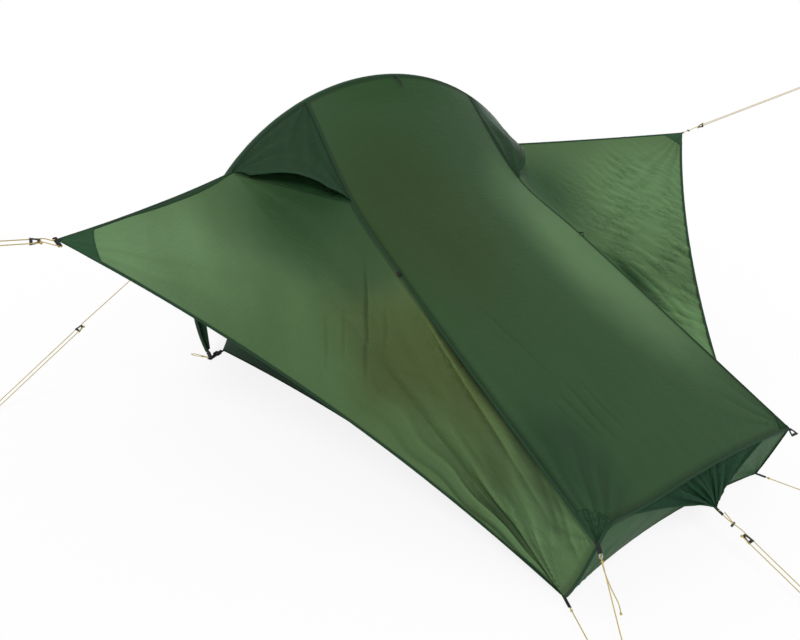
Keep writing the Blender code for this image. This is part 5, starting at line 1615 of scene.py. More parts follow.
@dataclass
class Awning:
    """A door panel that is guyed out flat from its fold line."""

    pattern: Pattern
    side: Side
    tip: Point
    zip_bow: float
    hem_cut: float
    zip_steps: int = 5
    hem_steps: int = 11
    rows: int = 8
    folds: int = 3
    fold_depth: float = 0.006
    fineness: int = 16
    patch_reach: tuple[float, float] = (0.115, 0.130)
    patch_bulge: float = -0.07
    binding_inset: float = 0.0042
    stitch_inset: float = 0.0068
    teeth_overhang: float = 0.0004
    flap_width: float = 0.0
    flap_lift: float = 0.0018
    wrinkles: Sequence[Fold] = ()

    @property
    def body(self) -> str:
        """The body that the awning moves with."""
        return self.side.value + "_awning"

    def fold_line(self) -> tuple[np.ndarray, np.ndarray]:
        """The top and bottom ends of the fold line."""
        return self.pattern.door_top(self.side), self.side.place(self.pattern.foot_bottom)

    def up(self) -> np.ndarray:
        """The panel's upward normal."""
        start, end = self.fold_line()
        up = unit(np.cross(end - start, np.array(self.tip) - start))
        return up if up[2] > 0 else -up

    def grid(self) -> np.ndarray:
        """The panel's points, from the fold line out to its rim."""
        start, end = self.fold_line()
        tip, up, fold = np.array(self.tip), self.up(), end - start
        tip_share = float((tip - start) @ fold / (fold @ fold))
        centre = (start + end + tip) / 3
        zip_bow = np.cross(unit(tip - start), up)
        zip_bow = zip_bow * math.copysign(self.zip_bow, self.zip_bow * float(zip_bow @ (start - centre)))
        hem_cut = np.cross(unit(end - tip), up)
        hem_cut = hem_cut * math.copysign(self.hem_cut, float(hem_cut @ (centre - tip)))
        zip_steps, hem_steps = self.zip_steps * self.fineness, self.hem_steps * self.fineness
        rim = np.vstack([bowed(start, tip, zip_steps, zip_bow)[:-1], bowed(tip, end, hem_steps, hem_cut)])
        share = np.concatenate([np.linspace(0.0, tip_share, zip_steps + 1)[:-1],
                                np.linspace(tip_share, 1.0, hem_steps + 1)])
        reach = shares(self.rows * self.fineness)[:, None]
        inner = start + fold * share[:, None]
        grid = inner[None] * (1 - reach[..., None]) + rim[None] * reach[..., None]
        ahead = unit(start - tip)
        angle = np.arctan2((grid - tip) @ np.cross(up, ahead), (grid - tip) @ ahead + 1e-9)
        fade = np.sin(math.pi * share)[None] * reach * (1 - reach) * 4
        return grid + up * (self.fold_depth * fade * np.sin(2 * self.folds * angle))[..., None]

    def build(self, neighbour: np.ndarray) -> None:
        """Make the panel, its bindings and its tip patch.

        Args:
            neighbour: The mean outward direction of the side panel that it is sewn to.
        """
        name = self.side.value
        cut = Cut("wing_" + name, self.grid(), np.array(self.tip) - self.up() * 3.0)
        cut.fold(*self.wrinkles, fade=0.010).lean_toward(neighbour, 0, 0.42)
        cut.put_up(self.body, WING, "awning_" + name, rests_on="side_foot_" + name, hemmed=(1,))
        middle = self.zip_steps * self.fineness
        rim, outs = cut.grid[-1], cut.normals[-1]
        drawn = unit(cut.grid[-3] - rim)
        for part, piece in (("zip", slice(0, middle + 1)), ("hem", slice(middle, None))):
            Trim.TAPE.lay("wing_%s_edge_%s" % (part, name), self.body,
                          rim[piece] + drawn[piece] * self.binding_inset, outs[piece], SHADED, seed=5,
                          half_width=0.0052, half_depth=0.0013, pucker=0.0012)
            Trim.STITCHES.lay("wing_%s_stitches_%s" % (part, name), self.body,
                              rim[piece] + drawn[piece] * self.stitch_inset, outs[piece], THREAD,
                              lift=0.0014)
        zip_edge, inward = rim[:middle + 1], drawn[:middle + 1]
        Trim.COIL.lay("wing_zip_teeth_" + name, self.body, zip_edge - inward * self.teeth_overhang,
                      outs[:middle + 1], COIL, width=0.0022, depth=0.0016)
        shape = tongue(rim[middle::-1], rim[middle:], self.patch_reach, self.patch_bulge)
        tip_patch = cut.resting("wing_tip_patch_" + name, shape, PATCH_LIFT)
        tip_patch.put_up(self.body, PATCH, hem=PATCH_HEM)
        if self.flap_width:
            zip_edge, inward = zip_edge[::2], inward[::2]
            share = shares(len(zip_edge) - 1)
            width = self.flap_width * np.sin(math.pi * np.clip(share * 1.25, 0.0, 1.0))
            strip = zip_edge[None] + inward[None] * width[None, :, None] * shares(4)[:, None, None]
            flap = cut.resting("wing_zip_flap_" + name, strip, self.flap_lift)
            flap.put_up(self.body, SHADED, hem=PATCH_HEM)




@dataclass
class Vent:
    """The vent beside the hoop: its net, the hood above it and the stiff brim along the hood's edge."""

    pattern: Pattern
    side: Side
    hood_seat: float = 0.0020
    hood_lift: float = 0.050
    hood_arch: float = 0.042
    hood_skew: float = 1.25
    pleats: int = 3
    pleat_depth: float = 0.004
    brim_width: float = 0.018
    brim_start: float = 0.08
    brim_taper: float = 0.12
    brim_least: float = 0.15
    stitch_inset: float = 0.004
    fold_end: Point = (0.688495, -0.0225, 0.750392)
    bend: tuple[float, float] = (0.003, 0.030)

    def axes(self) -> tuple[np.ndarray, np.ndarray]:
        """Directions out of the tent's skin and up it from the vent line."""
        under = self.pattern.vent_line(self.side, 1)
        along, rise = unit(under[-1] - under[0]), self.pattern.seam("foot", self.side)[0] - under[0]
        out = unit(np.cross(along, rise))
        return out if out[2] > 0 else -out, unit(rise - along * (along @ rise))

    def hood_grid(self) -> np.ndarray:
        """The hood's points, which lift into an arch along its lower edge."""
        out, rise = self.axes()
        grid = self.pattern.vent_rows(self.side, 12 * FINE)
        reach, spot = shares(grid.shape[0] - 1)[:, None], shares(grid.shape[1] - 1)[None, :]
        swell = np.sin(math.pi * spot**self.hood_skew)
        pleat = np.cos(2 * math.pi * self.pleats * spot) * swell * reach * (1 - reach)
        lift = self.hood_seat + self.hood_lift * swell * reach**1.5 + 4 * self.pleat_depth * pleat
        return grid + out * lift[..., None] + rise * (self.hood_arch * swell * reach**2)[..., None]

    def build(self) -> None:
        """Make the net, the hood and its brim."""
        name = self.side.value
        net = Cut("net_" + name, self.pattern.vent_rows(self.side, self.pattern.net_columns * FINE))
        net.put_up("tent", NET, "vent_net_" + name, rests_on="sleeve", thickness=0.0006)
        hood = Cut("hood_" + name, self.hood_grid())
        top, middle = hood.grid[[0, -1], hood.grid.shape[1] // 2]
        hood.fold(Fan(hood.grid[-1, 0], top, 0.8, 4.0, 0.0022, 0.22, phase=0.4),
                  Fan(hood.grid[-1, -1], top, 0.8, 4.0, 0.0022, 0.22, phase=1.9),
                  Ripples((middle + top) / 2, 0.26, middle - top, 0.05, 0.0012, 51), fade=0.008)
        piece = hood.sewn(HOOD, hemmed=(0, 2, 3))
        out, rise = self.axes()
        corner, run = self.side.place(self.fold_end), unit(out - rise * 0.10)
        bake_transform(piece)
        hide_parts("vent_hood_" + name)
        LOG.info("%s bends between tent and %s_brim", piece.name, name)
        self.brim(hood.grid, out)

    def brim(self, hood: np.ndarray, out: np.ndarray) -> None:
        """Make the stiff band along the hood's lower edge, with its piping and stitches.

        Args:
            hood: The hood's points.
            out: The direction out of the tent's skin.
        """
        body, name, edge = self.side.value + "_brim", self.side.value, hood[-1]
        count = len(edge) - 1
        first = int(round(self.brim_start * count))
        keep = slice(first, count + 1 - first)
        run = unit(np.gradient(edge, axis=0))
        down = edge - hood[-4]
        down = unit(down - run * (down * run).sum(axis=-1, keepdims=True))
        face = unit(np.cross(run, down))
        face = (face * np.sign((face @ out))[:, None])[keep]
        share = np.clip((np.arange(count + 1) - first) / (count - 2 * first), 0.0, 1.0)
        wide = eased(np.minimum(share, 1.0 - share) / self.brim_taper)[:, None]
        drop = self.brim_width * (self.brim_least + (1.0 - self.brim_least) * wide)
        Trim.TAPE.lay("brim_" + name, body, (edge + down * (drop - self.brim_width / 2))[keep], face, HOOD,
                      "vent_brim_" + name, half_width=self.brim_width / 2, half_depth=0.0014,
                      pucker=0.0006, seed=9)
        Trim.TAPE.lay("brim_piping_" + name, body, (edge + down * drop)[keep], face, SHADED,
                      half_width=0.0016, half_depth=0.0016, seed=9)
        Trim.STITCHES.lay("brim_stitches_" + name, body, (edge + down * self.stitch_inset)[keep], face,
                          THREAD, pitch=0.0050, length=0.0034)


@dataclass
class FootVent:
    """The pleated vent that a guyline draws out of the foot end."""

    pattern: Pattern
    reach: float = 0.300
    seat: float = 0.0015
    pleats: int = 5
    pleat_depth: float = 0.006
    columns: int = 20
    rows: int = 4

    def build(self) -> None:
        """Make the pleated cloth and its lower binding."""
        top = self.pattern.edges("foot")[0]
        spot = np.linspace(-1.0, 1.0, self.columns * FINE + 1)
        x = spot * self.reach
        edge = np.stack([x] + [np.interp(x, top[:, 0], top[:, i]) - self.seat for i in (1, 2)], axis=-1)
        reach, closing = shares(self.rows * FINE)[:, None], (1 - spot * spot)[None]
        drop = (reach * closing)[..., None]
        wave = np.sin(math.pi * self.pleats * (spot + 1))[None] * reach * closing * (1 - reach)
        cut = Cut("foot_vent", edge[None] * (1 - drop) + GUSSET_TIP * drop
                  + unit((0.0, -0.75, 0.65)) * (4 * self.pleat_depth * wave)[..., None])
        cut.fold(Fan(GUSSET_TIP, (0.0, -1.60, 0.24), 1.25, 9.0, 0.0040, 0.30, phase=0.6),
                 Ripples((0.0, -1.62, 0.2), 0.3, (0.0, -0.4, -0.9), 0.022, 0.0010, 61), fade=0.006)
        cut.put_up("tent", GUSSET, "foot_vent_gusset", rests_on="roof_foot")
        Trim.TAPE.lay("foot_vent_edge", "tent", cut.grid[-1], cut.normals[-1], GUSSET, half_width=0.0032,
                      half_depth=0.0012, pucker=0.0010, seed=7)


@dataclass
class InnerTent:
    """The tub floor, walls, doors and canopy inside the flysheet, by their points on the right."""

    wide: Point = (0.763, 0.040, 0.0)
    foot: Point = (0.410, -1.420, 0.0)
    head: Point = (0.410, 0.770, 0.0)
    shoulder: Point = (0.345, 0.0, 0.905)
    under_vent: Point = (0.350, -0.374, 0.635)
    under_tab: Point = (0.365, -0.718, 0.500)
    foot_shoulder: Point = (0.360, -1.410, 0.190)
    head_shoulder: Point = (0.350, 0.755, 0.250)
    crown: float = 0.075
    tub_height: float = 0.120
    side_cut: float = 0.040
    door: tuple[Point, Point, Point] = ((0.672, -0.060, 0.160), (0.452, -0.980, 0.165),
                                        (0.462, -0.100, 0.660))
    cloth: float = 0.0010

    def rims(self) -> list[np.ndarray]:
        """The tub's corners at its top edge: at the foot, beside the hoop and at the head."""
        made = []
        for low, high in ((self.foot, self.foot_shoulder), (self.wide, self.shoulder),
                          (self.head, self.head_shoulder)):
            share = (self.tub_height - low[2]) / (high[2] - low[2])
            made.append(np.array(low) * (1 - share) + np.array(high) * share)
        return made

    def tub(self) -> None:
        """Make the groundsheet with its turned-up sides."""
        ground, rims = [np.array(p) for p in (self.foot, self.wide, self.head)], self.rims()
        for ring in (ground, rims):
            ring += [Side.LEFT.place(p) for p in reversed(ring)]
        low, high = [], []
        for i, cut in enumerate((1.0, 0.5, 0.0, 0.5, 1.0, 0.0)):
            j = (i + 1) % len(ground)
            inward = np.cross(UPWARD, unit(ground[j] - ground[i]))
            low.append(bowed(ground[i], ground[j], 6 * FINE, inward * (self.side_cut * cut))[:-1])
            high.append(line(rims[i], rims[j], 6 * FINE)[:-1])
        low_ring, high_ring = np.vstack(low + [low[0][:1]]), np.vstack(high + [high[0][:1]])
        middle = np.array((0.0, -0.35, 0.0))
        floor = [middle * (1 - s) + low_ring * s for s in shares(8)[:-1]]
        wall = [low_ring * (1 - s) + high_ring * s for s in shares(12)]
        cut = Cut("tub", np.array(floor + wall), (0.0, -0.3, 2.0), parted=False)
        cut.flipped ^= bool(cut.facing()[3, 5, 2] > 0)
        cut.normals = unit(cut.facing())
        cut.put_up("tent", TUB, "inner_tub_floor", rests_on="side_foot_left", held="laid",
                   thickness=self.cloth, hem=0.004)
        Trim.TAPE.lay("tub_seam", "tent", high_ring, unit(high_ring - (0.0, -0.35, 0.12)), TAPE,
                      half_width=0.005, half_depth=0.0012, pucker=0.0010, seed=11)

    def canopy(self) -> None:
        """Make the inner roof on both sides of the hoop."""
        foot_rim, _, head_rim = self.rims()
        for name, knots, rises in (
                ("foot", (self.shoulder, self.under_vent, self.under_tab, self.foot_shoulder, foot_rim),
                 (1.0, 0.7, 0.4, 0.15, 0.0)),
                ("head", (self.shoulder, self.head_shoulder, head_rim), (1.0, 0.2, 0.0))):
            edge = np.vstack([line(a, b, 3 * FINE)[:-1] for a, b in zip(knots, knots[1:])] + [knots[-1]])
            spots = np.linspace(0.0, len(rises) - 1.0, len(edge))
            rise = np.interp(spots, range(len(rises)), rises) * self.crown
            across = np.linspace(-1.0, 1.0, 6 * FINE + 1)[None]
            grid = np.repeat(edge[:, None], across.size, axis=1)
            grid[..., 0] *= across
            grid[..., 2] += rise[:, None] * (1 - across**2)
            cut = Cut("inner_roof_" + name, grid, (0.0, -0.3, 0.1))
            cut.fold(Ripples((0.0, -0.6, 0.5), 1.2, (0.1, 1.0, 0.0), 0.12, 0.0020, 71), fade=0.02)
            cut.put_up("tent", INNER, "inner_canopy_" + name, rests_on="roof_" + name, held="hung",
                       thickness=self.cloth)

    def build(self) -> None:
        """Make the whole inner tent."""
        self.tub()
        self.canopy()
        for side in Side:
            self.wall(side)

    def wall(self, side: Side) -> None:
        """Make the side wall in strips round its doorway, and the door in it.

        Args:
            side: The side that they close.
        """
        foot, wide, head = (side.place(p) for p in self.rims())
        shoulder, vent, tab, foot_top, head_top = (side.place(p) for p in (
            self.shoulder, self.under_vent, self.under_tab, self.foot_shoulder, self.head_shoulder))
        front, back, apex = (side.place(p) for p in self.door)
        steps = 3 * FINE
        over = np.vstack([line(shoulder, vent, steps)[:-1], line(vent, tab, steps)])
        for part, grid in (
                ("sill", four_sided((front, back, wide, foot), steps, FINE)),
                ("over", patch(over, line(apex, back, 2 * steps), line(shoulder, apex, FINE),
                               line(tab, back, FINE))),
                ("hoop", four_sided((shoulder, wide, apex, front), steps, FINE)),
                ("foot", four_sided((tab, foot_top, back, foot), steps, FINE)),
                ("head", four_sided((shoulder, head_top, wide, head), steps, steps))):
            cut = Cut("inner_%s_%s" % (part, side.value), grid, (0.0, -0.3, 0.2))
            cut.fold(Ripples(grid.mean(axis=(0, 1)), 0.6, (0.0, 0.3, -1.0), 0.07, 0.0016, 81), fade=0.02)
            nodes = ("inner_side_" + side.value,) if part == "over" else ()
            cut.put_up("tent", INNER, *nodes, rests_on="inner_roof_foot", held="hung",
                       thickness=self.cloth, hem=0.008)
        share, inset = shares(steps)[:, None, None], (front + back + apex) / 3
        door = line(front, back, steps)[None] * (1 - share) + apex * share
        cut = Cut("inner_door_%s_cloth" % side.value, inset + (door - inset) * 0.992, (0.0, -0.3, 0.2))
        cut.fold(Ripples(inset, 0.5, (0.0, 0.2, -1.0), 0.08, 0.0018, 83), fade=0.03)
        cut.put_up(side.value + "_inner_door", INNER, "inner_door_" + side.value,
                   rests_on="inner_over_" + side.value, held="hung", thickness=self.cloth)
        arch = np.vstack([line(front, apex, steps)[:-1], line(apex, back, steps)])
        Trim.COIL.lay("inner_zip_" + side.value, "tent", arch + cut.mean * 0.001, cut.mean, COIL,
                      offset=0.0008)


@dataclass
class DoorZip:
    """The zip beside the sleeve below a door's top corner, and its slider."""

    pattern: Pattern
    side: Side
    half_width: float = 0.0025
    top_trim: float = 0.012

    def build(self) -> None:
        """Make the tape and its teeth, and dress the slider."""
        hoop, name = self.pattern.hoop, self.side.value
        first, last = self.pattern.door_top_arc + self.top_trim, hoop.half - hoop.sleeve_trim
        places, outs = hoop.frames(self.side.sign * np.linspace(first, last, 90))
        path = places + HEAD_WARD * -(hoop.cloth_edge + self.half_width)
        Trim.TAPE.lay("zip_tape_" + name, "tent", path, outs, ZIP_TAPE, "door_zip_" + name,
                      half_width=self.half_width, half_depth=0.0008, seed=12)
        Trim.COIL.lay("zip_teeth_" + name, "tent", path - HEAD_WARD * 0.0016, outs, COIL, width=0.0020)
        dressed("zip_slider_" + name, BLACK)


@dataclass(frozen=True)
class Guyline:
    """A cord from a point of the tent to its peg, single or doubled through an adjuster."""

    name: str
    body: str
    start: Point
    end: Point
    adjuster_at: float = 0.0
    eye_radius: float = 0.0070
    hitch_at: float = 0.038
    adjuster_length: float = 0.026
    adjuster_thickness: float = 0.0030
    strand_spread: float = 0.0045
    strand_lead: float = 0.0235
    gap: float = 0.0003
    strand_side: float = 1.0

    def axes(self) -> tuple[np.ndarray, np.ndarray, np.ndarray]:
        """Directions along the line, upwards square to it, and sideways."""
        along = unit(np.array(self.end) - self.start)
        rise = unit(UPWARD - along * (along @ UPWARD))
        return along, rise, np.cross(along, rise)

    def doubled(self) -> np.ndarray:
        """The route that opens out past the adjuster, turns at the peg and comes back."""
        along, rise, aside = self.axes()
        start = np.array(self.start)
        split, tail = self.adjuster_at - self.strand_lead, self.adjuster_at - self.adjuster_length / 2
        offset = (rise * self.strand_spread
                  + aside * self.strand_side * (self.adjuster_thickness / 2 + CORD_WIDTH / 2
                                                + 2 * self.gap))
        radius = float(np.linalg.norm(offset))
        length = float(np.linalg.norm(np.array(self.end) - start)) - radius
        knots = [start, start + along * split * 0.5, start + along * split + offset]
        knots += [start + along * (split + (length - split) * i / 4) + offset for i in (1, 2, 3)]
        for step in range(7):
            turn = math.pi * step / 6
            knots.append(start + along * (length + radius * math.sin(turn))
                         + unit(offset) * radius * math.cos(turn))
        knots += [start + along * (length + (tail - length) * i / 4) - offset for i in (1, 2, 3, 4)]
        return smooth_path(knots, 2)

    def looped(self) -> np.ndarray:
        """The single route that ends in a small open eye at the peg."""
        along, _, aside = self.axes()
        start, end = np.array(self.start), np.array(self.end)
        knots = [start * (1 - i / 4) + end * i / 4 for i in range(5)]
        centre = end + along * self.eye_radius * 1.2
        for step in range(1, 10):
            turn = math.pi + math.radians(292) * step / 9
            knots.append(centre + (along * math.cos(turn) - aside * math.sin(turn)) * self.eye_radius)
        return smooth_path(knots, 2)

    def build(self) -> None:
        along, start = self.axes()[0], np.array(self.start)
        if self.adjuster_at:
            route = self.doubled()
            knots = {"_knot": (start + along * 0.007, along), "_end_knot": (route[-1], -along)}
        else:
            route = self.looped()
            knots = {"_knot": (self.end, along), "_hitch": (start + along * self.hitch_at, along)}
        cord(self.name + "_cord", self.body, route, self.name,
             knots={self.name + part: values for part, values in knots.items()})


def strap(name: str, body: str, start: Point, along: Point, length: float, out: Point,
          half_width: float = 0.0055) -> None:
    """Make a short strap from a corner along its line.

    Args:
        name: The piece's name.
        body: The body that it moves with.
        start: Where it is sewn on.
        along: Its direction.
        length: Its length.
        out: Its flat side's direction.
        half_width: Half its width.
    """
    run = unit(along)
    Trim.TAPE.lay(name, body, line(start - run * 0.010, start + run * length, 16), out, TAPE,
                  half_width=half_width, half_depth=0.0022, pucker=0.0008, seed=13)


def toggle(name: str, body: str, centre: Point, axis: Point, length: float,
           half_width: float = 0.0032) -> None:
    """Make a small bar that sits across a line.

    Args:
        name: The piece's name.
        body: The body that it moves with.
        centre: Its middle.
        axis: Its direction.
        length: Its length.
        half_width: Its radius.
    """
    run = unit(axis) * length / 2
    Trim.TAPE.lay(name, body, line(centre - run, centre + run, 12), unit(np.cross(run, UPWARD + 0.1)),
                  BLACK, half_width=half_width, half_depth=half_width)


# Where the lines leave the tent and where they run to
TIPS = {Side.LEFT: (-1.318, -0.441, 0.731), Side.RIGHT: (1.294, -0.488, 0.849)}
TIP_RUNS = {Side.LEFT: (-0.965, -0.220, 0.160), Side.RIGHT: (0.905, -0.280, 0.320)}
GUSSET_TIP = np.array((0.0, -1.660, 0.154))
HOOP_LINE: tuple[Point, Point] = ((-0.785651, 0.0, 0.620115), (-1.570, 0.020, 0.013))
FOOT_LINE_END = np.array((0.056, -1.985, 0.016))
CORNER_LINE_END: Point = (0.516, -1.722, 0.0060)
EDGE_LINE_END = np.array((-0.470, -1.768, 0.014))


@dataclass
class Rigging:
    """All guylines, their hardware and the straps at the corners."""

    pattern: Pattern
    strap_face: Point = (0.0, -0.4, 0.9)
    ring_at: float = 0.026
    ring_radius: float = 0.0062
    ring_gauge: float = 0.0022
    tail_at: float = 0.031
    leg_radius: float = 0.0078
    leg_gap: float = 0.0006
    neck_half_width: float = 0.0027
    belly_half_width: float = 0.0060
    bar_corner: tuple[float, float] = (0.026, 0.010)

    def lines(self) -> list[Guyline]:
        """The guylines with the points that the solids give them."""
        made = []
        for side, length, at in ((Side.LEFT, 0.180, 0.052), (Side.RIGHT, 0.720, 0.100)):
            tip, along = TIPS[side], unit(TIP_RUNS[side])
            made.append(Guyline("tip_line_" + side.value, side.value + "_tip_line", tip + along * 0.0003,
                                tip + along * length, at))
        made.append(Guyline("hoop_guy_line", "tent", *HOOP_LINE, 0.610))
        start = GUSSET_TIP + unit(FOOT_LINE_END - GUSSET_TIP) * 0.0003
        made.append(Guyline("foot_guy_line", "tent", start, FOOT_LINE_END, 0.098, strand_side=-1.0))
        for side in Side:
            corner, end = side.place(self.pattern.foot_bottom), side.place(CORNER_LINE_END)
            made.append(Guyline("corner_line_" + side.value, "tent", corner + unit(end - corner) * 0.0008,
                                end))
        corner = Side.LEFT.place(self.pattern.foot_top)
        made.append(Guyline("edge_line_left", "tent", corner + unit(EDGE_LINE_END - corner) * 0.0014,
                            EDGE_LINE_END))
        return made

    def edge_left(self) -> None:
        """Make the strap, the ring and the hanging free end of the edge line."""
        corner = Side.LEFT.place(self.pattern.foot_top)
        along = unit(EDGE_LINE_END - corner)
        strap("edge_strap_left", "tent", corner, along, length=0.020, out=(-0.5, -0.6, 0.4))
        face = unit(np.cross(along, (1.0, 0.2, 0.1)))
        first = unit(np.cross(face, (0.2, 0.5, 0.9)))
        t = np.linspace(0.0, 2 * math.pi, 33)[:-1, None]
        circle = (first * np.cos(t) + np.cross(face, first) * np.sin(t)) * self.ring_radius
        ring = tube("edge_ring_left", corner + along * self.ring_at + circle, self.ring_gauge, METAL,
                    closed=True)
        settled(ring, "tent", METAL)
        start = corner + along * self.tail_at
        bends = ((0.0, 0.0, 0.0), (0.004, -0.012, -0.030), (0.014, -0.034, -0.072),
                 (0.026, -0.058, -0.112), (0.034, -0.066, -0.142))
        route = smooth_path([start + np.array(bend) for bend in bends], 6)
        cord("edge_line_tail", "tent", route, lay="hanging",
             knots={"edge_tail_knot": (route[-1], route[-1] - route[-2])})

    def leg_loop(self) -> None:
        """Make the cord loop beside the hoop's left foot, with its knot."""
        hoop, end = self.pattern.hoop, np.array((-0.884, 0.066, 0.0042))
        tip = hoop.frames(np.array([-hoop.half]))[0][0]
        foot = np.array((tip[0], tip[1], end[2]))
        along = unit(end - foot)
        start = foot + along * (self.leg_radius + self.leg_gap)
        aside = unit(np.cross(UPWARD, along))
        near, far = start + (end - start) * 0.35, start + (end - start) * 0.8
        neck, belly = aside * self.neck_half_width, aside * self.belly_half_width
        route = smooth_path([start + neck, near + neck, far + belly, end, far - belly, near - neck,
                             start - neck], 4)
        cord("leg_loop_cord", "tent", route, "leg_loop_left", far_end="object", lay="loose",
             knots={"leg_loop_knot": (near, along, 0.0038)})

    def foot_line(self) -> None:
        """Make the strap, toggle and second strand where the foot line starts."""
        along = unit(FOOT_LINE_END - GUSSET_TIP)
        strap("vent_strap", "tent", GUSSET_TIP, along, length=0.020, out=(0.0, -0.3, 0.9),
              half_width=0.0050)
        toggle("vent_toggle", "tent", GUSSET_TIP + along * 0.052, np.cross(along, UPWARD), length=0.018)
        aside = unit(np.cross(along, (0.75, 0.20, -0.63)))
        cord("foot_line_strand", "tent", line(GUSSET_TIP + along * 0.018 + aside * 0.008,
                                              GUSSET_TIP + along * 0.050 + aside * 0.003, 8),
             far_end="object")

    def tip_bar(self) -> None:
        """Make the bar at the left tip and the line's second strand."""
        tip, outward = np.array(TIPS[Side.LEFT]), np.array((-0.81, -0.58, -0.066))
        hem = unit(Side.LEFT.place(self.pattern.foot_bottom) - tip)
        corner = tip + hem * self.bar_corner[0] + outward * self.bar_corner[1]
        strap("tip_bar_left", "left_awning", tip + outward * 0.003, corner - tip, length=0.024,
              out=self.strap_face, half_width=0.006)
        cord("tip_line_strand", "left_tip_line",
             line(corner, tip + unit(TIP_RUNS[Side.LEFT]) * 0.043, 8), far_end="object")

    def build(self) -> None:
        """Make every line, strap, ring and toggle."""
        for guyline in self.lines():
            guyline.build()
        self.leg_loop()
        for side in Side:
            corner, name = side.place(self.pattern.foot_bottom), side.value
            strap("corner_strap_" + name, "tent", corner, side.place(CORNER_LINE_END) - corner,
                  length=0.030, out=(0.2, -0.4, 0.9))
            strap("tip_loop_" + name, name + "_awning", TIPS[side], TIP_RUNS[side], length=0.006,
                  out=self.strap_face, half_width=0.0045)
            for node, finish in (("tip_adjuster_", BLACK), ("pole_cup_", BLACK), ("base_strap_", TAPE)):
                dressed(node + name, finish)
        run = unit(TIP_RUNS[Side.RIGHT])
        toggle("tip_toggle_right", "right_tip_line", TIPS[Side.RIGHT] + run * 0.034,
               np.cross(run, UPWARD), length=0.011, half_width=0.0034)
        self.edge_left()
        self.foot_line()
        self.tip_bar()
        strap("edge_strap_right", "tent", self.pattern.foot_top, (0.386, -0.676, -0.628), length=0.008,
              out=(0.5, -0.3, 0.7), half_width=0.0050)
        for node in ("hoop_guy_adjuster", "foot_guy_adjuster", "edge_buckle_right"):
            dressed(node, BLACK)


@dataclass
class Studio:
    """The pale floor, the soft light and the camera at the photo's angle."""

    azimuth: float = 0.6204
    elevation: float = 0.4737
    roll: float = 0.0568
    lens: float = 28.006
    floor_colour: Colour = (0.94, 0.94, 0.94)
    floor_reach: float = 60.0
    whiteness: float = 0.85
    sky_strength: float = 0.66
    sun_energy: float = 1.55
    sun_spread: float = math.radians(18)
    sun_from: Point = (-0.62, -0.45, 1.0)

    def camera(self) -> None:
        """Set up the camera."""
        ahead = np.array((math.sin(self.azimuth) * math.cos(self.elevation),
                          math.cos(self.azimuth) * math.cos(self.elevation), -math.sin(self.elevation)))
        level = np.array((math.cos(self.azimuth), -math.sin(self.azimuth), 0.0))
        upright = np.cross(level, ahead)
        right = level * math.cos(self.roll) + upright * math.sin(self.roll)
        up = -level * math.sin(self.roll) + upright * math.cos(self.roll)
        data = bpy.data.cameras.new("camera")
        data.sensor_width, data.lens, data.clip_start = 36.0, self.lens, 0.02
        camera = linked("camera", data)
        turned = Matrix((right, up, -ahead)).transposed().to_4x4()
        turned.translation = Vector(CAMERA_PLACE)
        camera.matrix_world = turned
        bpy.context.scene.camera = camera

    def whitened(self, graph: Graph, share: Value, under: bpy.types.NodeSocket, kind: str,
                 outlet: str) -> None:
        """Show white in place of a tree's own result.

        Args:
            graph: The tree.
            share: How much white is shown.
            under: The tree's own result.
            kind: The node's type that gives the white.
            outlet: The name of the tree's last node.
        """
        white = graph.add(kind, None, {"Color": (1.0, 1.0, 1.0, 1.0), "Strength": 1.0})
        mixed = graph.add("ShaderNodeMixShader", None, {0: share, 1: under, 2: white.outputs[0]})
        graph.tree.links.new(mixed.outputs[0], graph.tree.nodes[outlet].inputs["Surface"])

    def floor(self) -> None:
        """Lay the floor, which shows white to the camera but keeps the shadow."""
        mesh = bpy.data.meshes.new("floor")
        mesh.from_pydata([(x * self.floor_reach, y * self.floor_reach, -0.0005) for x, y in
                          ((-1, -1), (1, -1), (1, 1), (-1, 1))], [], [(0, 1, 2, 3)])
        floor = linked("floor", mesh)
        shader = Shader("floor")
        tone = shader.mixed(self.floor_colour, tuple(c * 0.99 for c in self.floor_colour),
                            shader.noise(shader.place, 3.0))
        mesh.materials.append(shader.dress(base_color=tone, roughness=0.9, specular_ior_level=0.1))
        seen = Value(shader, shader.add("ShaderNodeLightPath").outputs["Is Camera Ray"])
        self.whitened(shader, seen * self.whiteness, shader.surface.outputs[0], "ShaderNodeEmission",
                      "Material Output")

    def light(self) -> None:
        """Light the tent from a white sky and one soft lamp."""
        world = bpy.data.worlds.new("sky")
        world.use_nodes = True
        graph = Graph(world.node_tree)
        sky = world.node_tree.nodes["Background"]
        sky.inputs["Color"].default_value = (1.0, 1.0, 1.0, 1.0)
        sky.inputs["Strength"].default_value = self.sky_strength
        path = graph.add("ShaderNodeLightPath")
        seen, glass, glossy = (Value(graph, path.outputs["Is %s Ray" % kind]) for kind in
                               ("Camera", "Transmission", "Glossy"))
        share = graph.maths("MAXIMUM", graph.maths("MAXIMUM", seen, glass), glossy)
        self.whitened(graph, share, sky.outputs[0], "ShaderNodeBackground", "World Output")
        bpy.context.scene.world = world
        sun = bpy.data.lights.new("key", "SUN")
        sun.energy, sun.angle = self.sun_energy, self.sun_spread
        linked("key", sun).rotation_euler = Vector(self.sun_from).to_track_quat("Z", "Y").to_euler()

    def build(self) -> None:
        """Set up everything that isn't the tent."""
        self.camera()
        self.floor()
        self.light()
        bpy.context.scene.view_settings.view_transform = "Standard"


